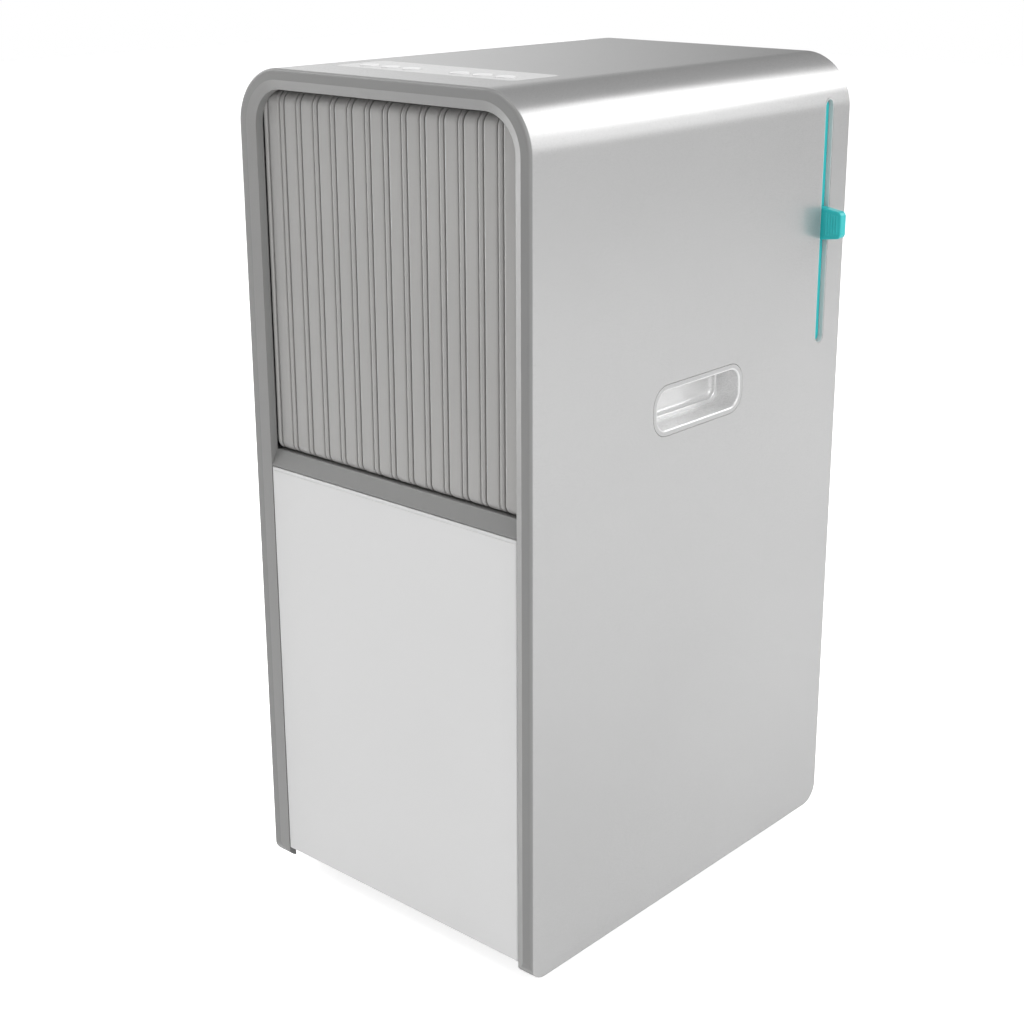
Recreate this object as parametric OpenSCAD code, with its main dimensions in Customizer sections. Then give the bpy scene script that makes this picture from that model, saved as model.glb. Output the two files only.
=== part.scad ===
// Portable air conditioner: an upright cabinet on four casters that cools one room.
// The front faces -Y, the right side faces +X, and +Z is up.
// The origin is on the floor, under the middle of the cabinet.

/* [Cabinet] */
// Width of the sleeve
cabinet_w = 330; // [320:5:420]
// Depth of the sleeve with the bezel
cabinet_d = 440; // [430:5:560]
// Height of the sleeve
cabinet_h = 750; // [745:5:950]
// Height of the sleeve's lower edge above the floor
floor_gap = 12; // [8:1:18]
// Wall of the sleeve and of the flat panels
wall = 2.5; // [1.5:0.1:4]
// Radius of the sleeve's long upper edges
top_r = 49; // [35:1:60]
// Radius of the sleeve's lower corners, seen from the side
foot_r = 19; // [10:1:30]
// Gap between neighbouring covers
seam = 0.4; // [0.2:0.1:1]
// How far the rear panel lies inside the sleeve
rear_recess = 8; // [7:1:15]
// Width of the sleeve's inner flange, which the rear panel is screwed to
flange_w = 12; // [9:1:20]

/* [Front] */
// Width of the bezel's flat outer band
band_w = 9.3; // [6:0.1:14]
// Width of the bezel's sloped inner face
bevel_w = 8.3; // [4:0.1:12]
// Depth of the sloped inner face
bevel_deep = 3.5; // [2:0.1:8]
// Depth of the wall behind the sloped face
reveal_deep = 7.9; // [5:0.1:14]
// Depth of the bezel's lip in front of the sleeve
lip_deep = 3; // [2:0.1:6]
// Height of the flat front panel
panel_h = 386; // [300:1:420]
// Height of the panel's lower edge above the sleeve's lower edge
panel_lift = 12.8; // [8:0.1:30]
// Height of the sill over the panel
sill_rise = 14; // [8:0.5:30]

/* [Outlet grille] */
// Number of wide ribs, each with a narrow one beside it
rib_units = 14; // [8:1:20]
// Width of a wide rib
wide_rib_w = 12.6; // [6:0.1:14]
// Width of a narrow rib
narrow_rib_w = 4; // [2:0.1:5]
// Depth of the ribs
rib_deep = 18; // [13:1:24]
// Radius of a rib's upper end
rib_top_r = 12; // [6:0.5:13]
// Radius of a rib's lower end
rib_foot_r = 9; // [4:0.5:12]

/* [Controls] */
// Width of the control fascia
fascia_w = 203; // [190:1:230]
// Depth of the control fascia
fascia_d = 58; // [40:1:80]
// Distance from the cabinet's front to the fascia
fascia_set = 52.5; // [45:0.5:80]
// Corner radius of the fascia
fascia_r = 7; // [2:0.5:12]
// Diameter of a button
button_dia = 16.3; // [10:0.1:20]
// Distance between neighbouring buttons
button_pitch = 24.7; // [21:0.1:26]
// Distance from the middle of the fascia to the first button
button_first = 27.6; // [14:0.1:28]
// Distance from the fascia's front edge to the buttons' middle
button_set = 18.5; // [12:0.1:28]
// How far a button stands above the fascia
button_proud = 0.8; // [0.3:0.1:2]
// How far a button can be pressed
button_travel = 1.2; // [0.4:0.1:1.5]

/* [Side handles] */
// Length of the handle's opening
handle_l = 118; // [90:1:130]
// Height of the handle's opening
handle_h = 34.5; // [28:0.5:40]
// Corner radius of the handle's opening
handle_r = 13; // [6:0.5:14]
// Depth of the finger pocket
handle_deep = 28; // [20:1:34]
// Width of the rim round the opening
handle_rim = 5; // [3:0.5:9]
// Distance from the cabinet's top to the handle's middle
handle_drop = 278; // [272:1:285]

/* [Filter] */
// Height of the filter slot
slot_h = 223; // [150:1:230]
// Width of the filter slot
slot_w = 12; // [9:0.5:14]
// Distance from the cabinet's top to the slot
slot_drop = 38.2; // [34:0.2:45]
// Distance from the sleeve's back edge to the slot's middle
slot_set = 33.4; // [30:0.2:40]
// Length of the filter, from the slot inwards
filter_l = 290; // [240:1:310]
// Thickness of the filter's frame
filter_t = 7; // [5:0.5:8]
// How far the pull tab stands out of the sleeve
tab_out = 20; // [12:0.5:30]
// Height of the tab at the sleeve
tab_root_h = 31; // [20:0.5:40]
// Height of the tab at its tip
tab_tip_h = 24; // [16:0.5:34]
// Thickness of the tab
tab_t = 9; // [5:0.5:10]

/* [Exhaust] */
// Inner radius of the exhaust collar
collar_r = 70; // [50:1:74]
// Wall of the exhaust collar
collar_wall = 3; // [2:0.5:4]
// Depth of the collar behind the rear panel
collar_deep = 38; // [25:1:45]
// Width of the collar's outer flange
collar_flange = 9; // [5:1:12]
// Distance from the bulkhead down to the collar's middle
collar_drop = 84; // [80:1:90]

/* [Casters] */
// Radius of a caster wheel
wheel_r = 19; // [15:0.5:20]
// Width of a caster wheel
wheel_w = 15; // [10:0.5:20]
// Distance from the stem's axis back to the axle
trail = 14; // [8:0.5:16]
// Distance from the sleeve's side to a stem
caster_inset_x = 43; // [42:1:60]
// Distance from the sleeve's front or back to a stem
caster_inset_y = 48; // [46:1:80]
// Radius of a caster's stem
stem_r = 5.5; // [4:0.1:7]
// Running gap round a shaft, stem or pin
running_gap = 0.05; // [0.02:0.01:0.1]

/* [Cooling circuit] */
// Height of the base pan's floor above the floor of the room
pan_z = 48; // [46:1:54]
// Height of the base pan's outer wall above its floor
pan_wall_h = 22; // [12:1:30]
// Distance from the cabinet's top to the bulkhead
bulkhead_drop = 316; // [314:1:330]
// Radius of the compressor
compressor_r = 56; // [45:1:60]
// Height of the compressor
compressor_h = 205; // [150:1:240]
// Radius of the accumulator
accumulator_r = 21; // [15:1:25]
// Height of the accumulator
accumulator_h = 120; // [80:1:160]
// Thickness of the evaporator coil
evaporator_t = 38; // [20:1:42]
// Thickness of the condenser coil
condenser_t = 44; // [20:1:50]
// Height of the condenser coil
condenser_h = 190; // [150:1:200]
// Radius of the refrigerant pipes
pipe_r = 4; // [3:0.5:6]

/* [Blowers] */
// Radius of the evaporator's blower wheel
upper_wheel_r = 92; // [70:1:96]
// Radius of the condenser's blower wheel
lower_wheel_r = 82; // [60:1:84]
// Width of the blower wheels
blower_w = 74; // [50:1:80]
// Number of blades on a blower wheel
blades = 28; // [16:1:40]
// Radius of a blower shaft
shaft_r = 4; // [3:0.5:6]
// Radius of a blower motor
motor_r = 40; // [30:1:45]
// Length of a blower motor
motor_l = 60; // [40:1:65]

/* [Swing vanes] */
// Distance between vanes
vane_pitch = 50; // [40:1:52]
// Depth of a vane from front to back
vane_chord = 32; // [20:1:34]
// Thickness of a vane
vane_t = 2.4; // [1.5:0.1:4]
// Distance from a vane's axis to its crank pin
crank_r = 12; // [8:0.5:13]

/* [Hidden] */
$fn = 64;

silver = [0.72, 0.72, 0.72];
bezel_grey = [0.5, 0.5, 0.49];
rib_grey = [0.65, 0.64, 0.63];
panel_white = [0.86, 0.86, 0.86];
button_white = [0.95, 0.95, 0.95];
teal = [0.2, 0.6, 0.6];
dark_plastic = [0.15, 0.15, 0.16];
steel = [0.6, 0.6, 0.62];
copper = [0.72, 0.45, 0.3];
board_green = [0.1, 0.35, 0.2];

cut = 1;                      // how far a cutting solid runs past the face it cuts
weld = 0.01;                  // overlap that joins the solids of one piece
low_z = floor_gap;
high_z = floor_gap + cabinet_h;
front_y = -cabinet_d / 2;
back_y = cabinet_d / 2;
side_x = cabinet_w / 2;
inner_x = side_x - wall - seam;

panel_face_y = front_y + bevel_deep;
rib_face_y = panel_face_y + reveal_deep;
opening_w = cabinet_w - 2 * (band_w + bevel_w);
opening_top_z = high_z - band_w - bevel_w;
panel_low_z = low_z + panel_lift;
panel_top_z = panel_low_z + panel_h;
sill_top_z = panel_top_z + sill_rise;

rear_out_y = back_y - rear_recess;
rear_in_y = rear_out_y - wall;

bulkhead_z = high_z - bulkhead_drop;
pan_top_z = pan_z + wall;
handle_z = high_z - handle_drop;

fascia_front_y = front_y + fascia_set;
fascia_mid_y = fascia_front_y + fascia_d / 2;
button_y = fascia_front_y + button_set;
button_hole_gap = 0.35;       // between a button and its hole
board_drop = 16;              // from the sleeve's top to the board's upper face
board_t = 1.6;
board_z = high_z - board_drop - board_t;
switch_h = 6;

slot_y = back_y - slot_set;
slot_top_z = high_z - slot_drop;
slot_low_z = slot_top_z - slot_h;
slot_mid_z = (slot_low_z + slot_top_z) / 2;
slot_gap = 0.5;               // round the filter in its slot and guide
filter_face_in = 4.5;         // from the sleeve's outside to the filter's end
slot_rim_deep = 5;            // depth of the rim behind the slot
slot_rim_t = 2;
guide_rail_h = 7;
guide_groove = 4;             // how deep the filter's edge sits in a rail

collar_z = bulkhead_z - collar_drop;
collar_in_y = rear_out_y - collar_deep;

// Flat shapes

// A rectangle with round corners, centred on the origin
module round_rect(w, h, r) {
    square([w - 2 * r, h], center = true);
    square([w, h - 2 * r], center = true);
    for (x = [-1, 1], y = [-1, 1])
        translate([x * (w / 2 - r), y * (h / 2 - r)]) circle(r);
}

// An upright bar with fully round ends, centred on the origin
module stadium(w, h) {
    round_rect(w, h, w / 2 - weld);
}

// The cabinet's outline from the front, drawn in by the given amount
module cabinet_outline(inset) {
    half = side_x - inset;
    r = top_r - inset;
    translate([-half, low_z]) square([2 * half, high_z - top_r - low_z]);
    translate([-half + r, low_z]) square([2 * (half - r), high_z - inset - low_z]);
    for (s = [-1, 1]) translate([s * (half - r), high_z - top_r]) circle(r);
}

// The cabinet's outline from the side, with round lower corners
module side_outline() {
    translate([front_y, low_z + foot_r]) square([cabinet_d, cabinet_h]);
    translate([front_y + foot_r, low_z]) square([cabinet_d - 2 * foot_r, cabinet_h]);
    for (s = [-1, 1]) translate([s * (cabinet_d / 2 - foot_r), low_z + foot_r]) circle(foot_r);
}

// Flat shapes in X and Z, run from one Y to another
module along_y(y0, y1) {
    translate([0, y1, 0]) rotate([90, 0, 0]) linear_extrude(y1 - y0) children();
}

// Flat shapes in Y and Z, run from one X to another
module along_x(x0, x1) {
    translate([x0, 0, 0]) rotate([90, 0, 90]) linear_extrude(x1 - x0) children();
}

// A box between two corners
module block(low, high) {
    translate(low) cube(high - low);
}

// A rod along Y
module rod_y(x, z, y0, y1, r) {
    translate([x, y1, z]) rotate([90, 0, 0]) cylinder(h = y1 - y0, r = r);
}

// A rod along X
module rod_x(y, z, x0, x1, r) {
    translate([x0, y, z]) rotate([0, 90, 0]) cylinder(h = x1 - x0, r = r);
}

// Everything outside the rounded lower corners is cut away
module trim_corners() {
    intersection() {
        children();
        along_x(-cabinet_w, cabinet_w) side_outline();
    }
}

// Outer covers

rim_l = handle_l + 2 * handle_rim;
rim_h = handle_h + 2 * handle_rim;
rim_r = handle_r + handle_rim;

screw_head_r = 3.5;
screw_head_h = 2.2;
screw_r = 1.75;
screw_l = 9;
screw_hole_r = 2;
screw_inset = wall + seam + flange_w / 2;
screw_rows = [0.14, 0.36, 0.62, 0.82];
screw_places = [
    for (s = [-1, 1], f = screw_rows) [s * (side_x - screw_inset), low_z + f * cabinet_h],
    for (s = [-1, 1]) [s * (side_x - top_r), high_z - screw_inset]
];

module outer_shell() {
    flange_y = rear_in_y - wall;
    color(silver) trim_corners() difference() {
        union() {
            along_y(front_y + lip_deep, back_y) difference() {
                cabinet_outline(0);
                cabinet_outline(wall);
            }
            along_y(flange_y, rear_in_y) difference() {
                cabinet_outline(wall / 2);
                cabinet_outline(wall + seam + flange_w);
            }
            along_x(side_x - wall - slot_rim_deep, side_x - wall / 2)
                translate([slot_y, slot_mid_z])
                    stadium(slot_w + 2 * slot_rim_t, slot_h + 2 * slot_rim_t);
        }
        along_x(-side_x - cut, side_x + cut)
            translate([0, handle_z]) round_rect(rim_l + 2 * seam, rim_h + 2 * seam, rim_r + seam);
        along_x(0, side_x + cut) translate([slot_y, slot_mid_z]) stadium(slot_w, slot_h);
        translate([0, fascia_mid_y, high_z - wall - cut]) linear_extrude(wall + 2 * cut)
            round_rect(fascia_w + 2 * seam, fascia_d + 2 * seam, fascia_r + seam);
        for (p = screw_places) rod_y(p[0], p[1], flange_y - cut, rear_in_y + cut, screw_hole_r);
    }
}

// The bezel's section: how far in from the cabinet's edge, and how deep from the front
bezel_section = [
    [0, 0],
    [band_w, 0],
    [band_w + bevel_w, bevel_deep],
    [band_w + bevel_w, bevel_deep + reveal_deep],
    [wall + seam, bevel_deep + reveal_deep],
    [wall + seam, lip_deep],
    [0, lip_deep]
];

module front_bezel() {
    color(bezel_grey) trim_corners() union() {
        for (s = [0, 1]) mirror([s, 0, 0]) {
            translate([0, 0, low_z]) linear_extrude(high_z - top_r - low_z)
                polygon([for (p = bezel_section) [side_x - p[0], front_y + p[1]]]);
            translate([side_x - top_r, 0, high_z - top_r]) rotate([90, 0, 0])
                rotate_extrude(angle = 90)
                    polygon([for (p = bezel_section) [top_r - p[0], -front_y - p[1]]]);
        }
        along_x(-(side_x - top_r), side_x - top_r)
            polygon([for (p = bezel_section) [front_y + p[1], high_z - p[0]]]);
    }
}

panel_rib_t = 2;
panel_rib_deep = 6;

module front_panel() {
    half = opening_w / 2 - seam;
    color(panel_white) union() {
        block([-half, panel_face_y, panel_low_z], [half, panel_face_y + wall, panel_top_z]);
        for (f = [0, 0.25, 0.5, 0.75, 1]) {
            z = panel_low_z + f * (panel_h - panel_rib_t);
            block([-half, panel_face_y, z], [half, panel_face_y + panel_rib_deep, z + panel_rib_t]);
        }
    }
}

module outlet_sill() {
    half = opening_w / 2 - seam;
    back = rib_face_y + rib_deep;
    color(bezel_grey) along_x(-half, half) polygon([
        [panel_face_y, panel_top_z],
        [rib_face_y - seam, sill_top_z],
        [back, sill_top_z],
        [back, sill_top_z - wall],
        [rib_face_y + wall, sill_top_z - wall],
        [panel_face_y + wall, panel_top_z]
    ]);
}

rib_gap = (opening_w - 2 * seam - rib_units * wide_rib_w - (rib_units + 1) * narrow_rib_w)
    / (2 * rib_units);
rib_pitch = wide_rib_w + narrow_rib_w + 2 * rib_gap;
grille_rail_h = 5;
grille_rail_deep = 4;
grille_rails = [0.12, 0.5, 0.86];
rib_top_gap = 1;
rib_top_z = opening_top_z - rib_top_gap;

// A rib's outline from the side: both front corners are round
module rib_outline() {
    z0 = sill_top_z;
    tall = rib_top_z - z0;
    intersection() {
        translate([rib_face_y, z0]) square([rib_deep, tall]);
        union() {
            translate([rib_face_y, z0 + rib_foot_r])
                square([rib_deep, tall - rib_top_r - rib_foot_r]);
            translate([rib_face_y + rib_foot_r, z0]) square([rib_deep, tall / 2]);
            translate([rib_face_y + rib_top_r, z0 + tall / 2]) square([rib_deep, tall / 2]);
            translate([rib_face_y + rib_foot_r, z0 + rib_foot_r]) circle(rib_foot_r);
            translate([rib_face_y + rib_top_r, rib_top_z - rib_top_r]) circle(rib_top_r);
        }
    }
}

module outlet_grille() {
    x0 = -opening_w / 2 + seam;
    color(rib_grey) intersection() {
        union() {
            for (i = [0 : rib_units])
                along_x(x0 + i * rib_pitch, x0 + i * rib_pitch + narrow_rib_w) rib_outline();
            for (i = [0 : rib_units - 1]) {
                x = x0 + i * rib_pitch + narrow_rib_w + rib_gap;
                along_x(x, x + wide_rib_w) rib_outline();
            }
            for (f = grille_rails) {
                z = sill_top_z + f * (rib_top_z - sill_top_z);
                back = rib_face_y + rib_deep;
                block([x0, back - grille_rail_deep, z], [-x0, back, z + grille_rail_h]);
            }
        }
        along_y(front_y, 0) cabinet_outline(wall + seam);
    }
}

// Controls

fascia_flange = 4;
button_stem_r = 2.5;
button_foot_h = 1.2;
button_foot_w = 1.2;          // how far the foot stands out round a button
switch_gap = 0.5;             // left under the stem at full travel
switch_w = 6;
board_margin_x = 6;
board_margin_y = 4;
driver = [32, 16, 5];         // the controller's housing on the board
post_r = 3;
post_inset = 5;
button_xs = [for (s = [-1, 1], i = [0 : 2]) s * (button_first + i * button_pitch)];

module control_fascia() {
    color(panel_white) difference() {
        union() {
            translate([0, fascia_mid_y, high_z - wall]) linear_extrude(wall)
                round_rect(fascia_w, fascia_d, fascia_r);
            translate([0, fascia_mid_y, high_z - 2 * wall]) linear_extrude(wall)
                round_rect(fascia_w + 2 * fascia_flange, fascia_d + 2 * fascia_flange,
                    fascia_r + fascia_flange);
        }
        for (x = button_xs) translate([x, button_y, high_z - 2 * wall - cut])
            cylinder(h = 2 * wall + 2 * cut, r = button_dia / 2 + button_hole_gap);
    }
}

module control_button(x) {
    stem_low_z = board_z + board_t + switch_h + button_travel + switch_gap;
    foot_top_z = high_z - 2 * wall - seam;
    color(button_white) union() {
        translate([x, button_y, foot_top_z - weld])
            cylinder(h = high_z + button_proud - foot_top_z + weld, r = button_dia / 2);
        translate([x, button_y, foot_top_z - button_foot_h])
            cylinder(h = button_foot_h, r = button_dia / 2 + button_foot_w);
        translate([x, button_y, stem_low_z])
            cylinder(h = foot_top_z - button_foot_h - stem_low_z + weld, r = button_stem_r);
    }
}

module control_board() {
    half_w = fascia_w / 2 - board_margin_x;
    half_d = fascia_d / 2 - board_margin_y;
    top = board_z + board_t;
    color(board_green) union() {
        block([-half_w, fascia_mid_y - half_d, board_z], [half_w, fascia_mid_y + half_d, top]);
        for (x = button_xs) translate([x - switch_w / 2, button_y - switch_w / 2, board_z])
            cube([switch_w, switch_w, board_t + switch_h]);
        translate([-driver[0] / 2, fascia_mid_y, top - weld]) cube(driver);
        for (sx = [-1, 1], sy = [-1, 1])
            translate([sx * (half_w - post_inset), fascia_mid_y + sy * (half_d - post_inset), board_z])
                cylinder(h = high_z - 2 * wall - board_z, r = post_r);
    }
}

// Side handles

pocket_wall = 2;

module handle_cup(side) {
    color(silver) mirror([side < 0 ? 1 : 0, 0, 0]) difference() {
        union() {
            along_x(side_x - wall, side_x) translate([0, handle_z]) round_rect(rim_l, rim_h, rim_r);
            along_x(side_x - handle_deep - pocket_wall, side_x - wall + weld)
                translate([0, handle_z]) round_rect(
                    handle_l + 2 * pocket_wall, handle_h + 2 * pocket_wall, handle_r + pocket_wall);
        }
        along_x(side_x - handle_deep, side_x + cut) translate([0, handle_z])
            round_rect(handle_l, handle_h, handle_r);
    }
}

// Filter

filter_low_z = slot_low_z + slot_gap;
filter_top_z = slot_top_z - slot_gap;
filter_out_x = side_x - filter_face_in;
filter_in_x = side_x - filter_l;
filter_bar = 6;
filter_end_t = 4;             // thickness of the plate that closes the slot
filter_cells_x = 5;
filter_cells_z = 4;
tab_tip_r = 4;
mesh_t = 0.8;
mesh_gap = 0.05;              // between the mesh and its groove
mesh_low = [filter_in_x + filter_bar / 2, filter_low_z + slot_w / 2 + filter_bar];
mesh_high = [filter_out_x - filter_end_t - filter_bar / 2, filter_top_z - slot_w / 2 - filter_bar];

module filter_window(x, z, w, h) {
    block([x, slot_y - filter_t, z], [x + w, slot_y + filter_t, z + h]);
}

// The pull tab's outline, narrower at its round-cornered tip
module tab_outline() {
    tip_x = side_x + tab_out;
    root = tab_root_h / 2;
    tip = tab_tip_h / 2;
    polygon([
        [filter_out_x - filter_end_t, -root],
        [tip_x - tab_tip_r, -tip],
        [tip_x - tab_tip_r, tip],
        [filter_out_x - filter_end_t, root]
    ]);
    translate([tip_x - tab_tip_r - weld, -tip + tab_tip_r])
        square([tab_tip_r + weld, 2 * (tip - tab_tip_r)]);
    for (s = [-1, 1]) translate([tip_x - tab_tip_r, s * (tip - tab_tip_r)]) circle(tab_tip_r);
}

module filter_frame() {
    half_t = filter_t / 2;
    half_mesh = mesh_t / 2 + mesh_gap;
    end_x = filter_out_x - filter_end_t;
    step_x = (end_x - filter_in_x - filter_bar) / filter_cells_x;
    step_z = (filter_top_z - filter_low_z - 2 * slot_w - filter_bar) / filter_cells_z;
    color(teal) union() {
        difference() {
            union() {
                block([filter_in_x, slot_y - half_t, filter_low_z + slot_w / 2],
                    [end_x + weld, slot_y + half_t, filter_top_z - slot_w / 2]);
                along_x(end_x, filter_out_x) translate([slot_y, slot_mid_z])
                    stadium(slot_w - 2 * slot_gap, slot_h - 2 * slot_gap);
            }
            for (i = [0 : filter_cells_x - 1], k = [0 : filter_cells_z - 1])
                filter_window(filter_in_x + filter_bar + i * step_x,
                    filter_low_z + slot_w + filter_bar + k * step_z,
                    step_x - filter_bar, step_z - filter_bar);
            block([mesh_low[0], slot_y - half_mesh, mesh_low[1]],
                [mesh_high[0], slot_y + half_mesh, mesh_high[1]]);
        }
        along_y(slot_y - tab_t / 2, slot_y + tab_t / 2) translate([0, slot_mid_z]) tab_outline();
    }
}

module filter_mesh() {
    color(dark_plastic) block([mesh_low[0], slot_y - mesh_t / 2, mesh_low[1]],
        [mesh_high[0], slot_y + mesh_t / 2, mesh_high[1]]);
}

guide_wall = 2;
guide_end_t = 4;
coil_back_y = slot_y - slot_w / 2 - guide_end_t;

module filter_guide() {
    groove_half = filter_t / 2 + slot_gap;
    back = slot_y + groove_half + guide_wall;
    edge_low = filter_low_z + slot_w / 2 - slot_gap;
    edge_top = filter_top_z - slot_w / 2 + slot_gap;
    left = filter_in_x - slot_gap;
    right = filter_out_x - filter_end_t - slot_gap;
    color(dark_plastic) difference() {
        union() {
            block([left - guide_end_t, coil_back_y, edge_low - guide_rail_h],
                [right, back, edge_low + guide_groove]);
            block([left - guide_end_t, coil_back_y, edge_top - guide_groove],
                [right, back, edge_top + guide_rail_h]);
            block([left - guide_end_t, coil_back_y, edge_low], [left, back, edge_top]);
        }
        block([left, slot_y - groove_half, edge_low], [side_x, slot_y + groove_half, edge_top]);
    }
}

// Rear panel and what is on it

slot_rows_gap = 11;
louvre_h = 5;
louvre_w = 58;
louvre_gap = 8;
louvre_cols = 4;
louvre_low_gap = 6;           // from a field's lower end to what lies behind it
louvre_top_gap = 10;
plug_r = 7;
plug_gap = 0.3;               // between a drain plug and its boss
plug_head_r = 12;
plug_head_h = 5;
plug_head_lift = 0.3;         // left between a plug's head and the panel
plug_l = 14;
plug_boss_wall = 3;
plug_boss_l = 8;
drain_hole_l = 20;            // how deep the room for a boss is cut into other walls
drain_inset = 50;
drain_rise = 1.5;             // from the pan's floor to the lower boss
upper_drain_rise = 16;
drain_x = side_x - drain_inset;
lower_drain_z = pan_top_z + plug_r + plug_boss_wall + drain_rise;
upper_drain_z = bulkhead_z + upper_drain_rise;
gland_r = 9;
gland_gap = 0.1;
gland_l = 10;
gland_flange = 4;
gland_flange_t = 3;
cord_hole_r = 4.2;
gland_inset = 52;
gland_drop = 22;
gland_x = -side_x + gland_inset;
gland_z = bulkhead_z - gland_drop;

// Rows of air slots between two heights
module louvre_field(z0, z1) {
    rows = floor((z1 - z0) / slot_rows_gap);
    pitch = louvre_w + louvre_gap;
    for (c = [0 : louvre_cols - 1], k = [0 : rows - 1])
        translate([(c - (louvre_cols - 1) / 2) * pitch - louvre_w / 2, z0 + k * slot_rows_gap])
            square([louvre_w, louvre_h]);
}

// Room for a drain's boss where it passes through another wall
module drain_clearance(z) {
    rod_y(drain_x, z, rear_in_y - drain_hole_l, rear_in_y, plug_r + plug_boss_wall + seam);
}

module rear_panel() {
    color(bezel_grey) difference() {
        union() {
            along_y(rear_in_y, rear_out_y) difference() {
                intersection() {
                    cabinet_outline(wall + seam);
                    translate([-side_x, low_z + foot_r]) square([cabinet_w, cabinet_h]);
                }
                louvre_field(slot_low_z, slot_top_z - louvre_top_gap);
                louvre_field(coil_low_z + louvre_low_gap, coil_top_z - louvre_top_gap);
                translate([0, collar_z]) circle(collar_r + collar_wall + seam);
            }
            for (z = [lower_drain_z, upper_drain_z])
                rod_y(drain_x, z, rear_in_y - plug_boss_l, rear_in_y + weld, plug_r + plug_boss_wall);
        }
        for (z = [lower_drain_z, upper_drain_z])
            rod_y(drain_x, z, rear_in_y - plug_boss_l - cut, rear_out_y + cut, plug_r + plug_gap);
        rod_y(gland_x, gland_z, rear_in_y - cut, rear_out_y + cut, gland_r + gland_gap);
        for (p = screw_places) rod_y(p[0], p[1], rear_in_y - cut, rear_out_y + cut, screw_hole_r);
    }
}

module panel_screws() {
    color(steel) for (p = screw_places) {
        rod_y(p[0], p[1], rear_out_y, rear_out_y + screw_head_h, screw_head_r);
        rod_y(p[0], p[1], rear_out_y - screw_l, rear_out_y + weld, screw_r);
    }
}

module exhaust_collar() {
    color(dark_plastic) difference() {
        union() {
            rod_y(0, collar_z, collar_in_y, rear_out_y + weld, collar_r + collar_wall);
            rod_y(0, collar_z, rear_out_y, rear_out_y + wall, collar_r + collar_flange);
        }
        rod_y(0, collar_z, collar_in_y - cut, rear_out_y + wall + cut, collar_r);
    }
}

module cord_gland() {
    color(dark_plastic) difference() {
        union() {
            rod_y(gland_x, gland_z, rear_in_y - gland_l, rear_out_y + weld, gland_r);
            rod_y(gland_x, gland_z, rear_out_y, rear_out_y + gland_flange_t, gland_r + gland_flange);
        }
        rod_y(gland_x, gland_z, rear_in_y - gland_l - cut, rear_out_y + gland_flange_t + cut, cord_hole_r);
    }
}

module drain_plug(z) {
    head_y = rear_out_y + plug_head_lift;
    color(dark_plastic) union() {
        rod_y(drain_x, z, rear_out_y - plug_l, head_y + weld, plug_r);
        rod_y(drain_x, z, head_y, head_y + plug_head_h, plug_head_r);
    }
}

// Base and casters

caster_x = side_x - caster_inset_x;
caster_y = cabinet_d / 2 - caster_inset_y;
stem_boss_wall = 4;
stem_l = 26;
yoke_gap = 1;                 // between a wheel and its yoke, and between the yoke and the pan
yoke_arm_t = 2.5;
yoke_arm_r = 7;
yoke_plate_t = 4;
yoke_plate_rim = 4;
arm_top_back = 12;            // from the arm's upper back corner to the stem's axis
arm_top_front = 8;
yoke_top_z = pan_z - yoke_gap;
axle_r = 3;
hub_wall = 2;
tread_t = 6;
tread_edge = 2.5;
recess_deep = 2.5;            // depth of the ring-shaped hollow in a wheel's side
base_front_gap = 1;           // behind the bezel
base_front_y = rib_face_y + base_front_gap;
base_back_y = rear_in_y - wall - seam;

module base_pan() {
    color(dark_plastic) difference() {
        union() {
            difference() {
                block([-inner_x, base_front_y, low_z + foot_r],
                    [inner_x, base_back_y, pan_top_z + pan_wall_h]);
                block([-inner_x + wall, base_front_y + wall, low_z],
                    [inner_x - wall, base_back_y - wall, pan_z]);
                block([-inner_x + wall, base_front_y + wall, pan_top_z],
                    [inner_x - wall, base_back_y - wall, pan_top_z + pan_wall_h + cut]);
            }
            for (sx = [-1, 1], sy = [-1, 1]) translate([sx * caster_x, sy * caster_y, pan_z])
                cylinder(h = stem_l, r = stem_r + stem_boss_wall);
        }
        for (sx = [-1, 1], sy = [-1, 1]) translate([sx * caster_x, sy * caster_y, pan_z - cut])
            cylinder(h = stem_l + 2 * cut, r = stem_r + running_gap);
        drain_clearance(lower_drain_z);
    }
}

module caster_yoke(sx, sy) {
    half = wheel_w / 2 + yoke_gap;
    arm_top_z = yoke_top_z - yoke_plate_t / 2;
    color(dark_plastic) translate([sx * caster_x, sy * caster_y, 0]) difference() {
        union() {
            translate([0, 0, yoke_top_z - yoke_plate_t])
                cylinder(h = yoke_plate_t, r = half + yoke_arm_t + yoke_plate_rim);
            translate([0, 0, yoke_top_z - weld]) cylinder(h = stem_l, r = stem_r);
            for (s = [-1, 1]) translate([s > 0 ? half : -half - yoke_arm_t, 0, 0]) {
                rod_x(trail, wheel_r, 0, yoke_arm_t, yoke_arm_r);
                along_x(0, yoke_arm_t) polygon([
                    [trail - yoke_arm_r, wheel_r],
                    [trail + yoke_arm_r, wheel_r],
                    [arm_top_back, arm_top_z],
                    [-arm_top_front, arm_top_z]
                ]);
            }
        }
        rod_x(trail, wheel_r, -half - yoke_arm_t - cut, half + yoke_arm_t + cut, axle_r);
    }
}

module caster_axle(sx, sy) {
    half = wheel_w / 2 + yoke_gap + yoke_arm_t;
    color(steel) translate([sx * caster_x, sy * caster_y + trail, wheel_r])
        rod_x(0, 0, -half, half, axle_r);
}

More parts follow.
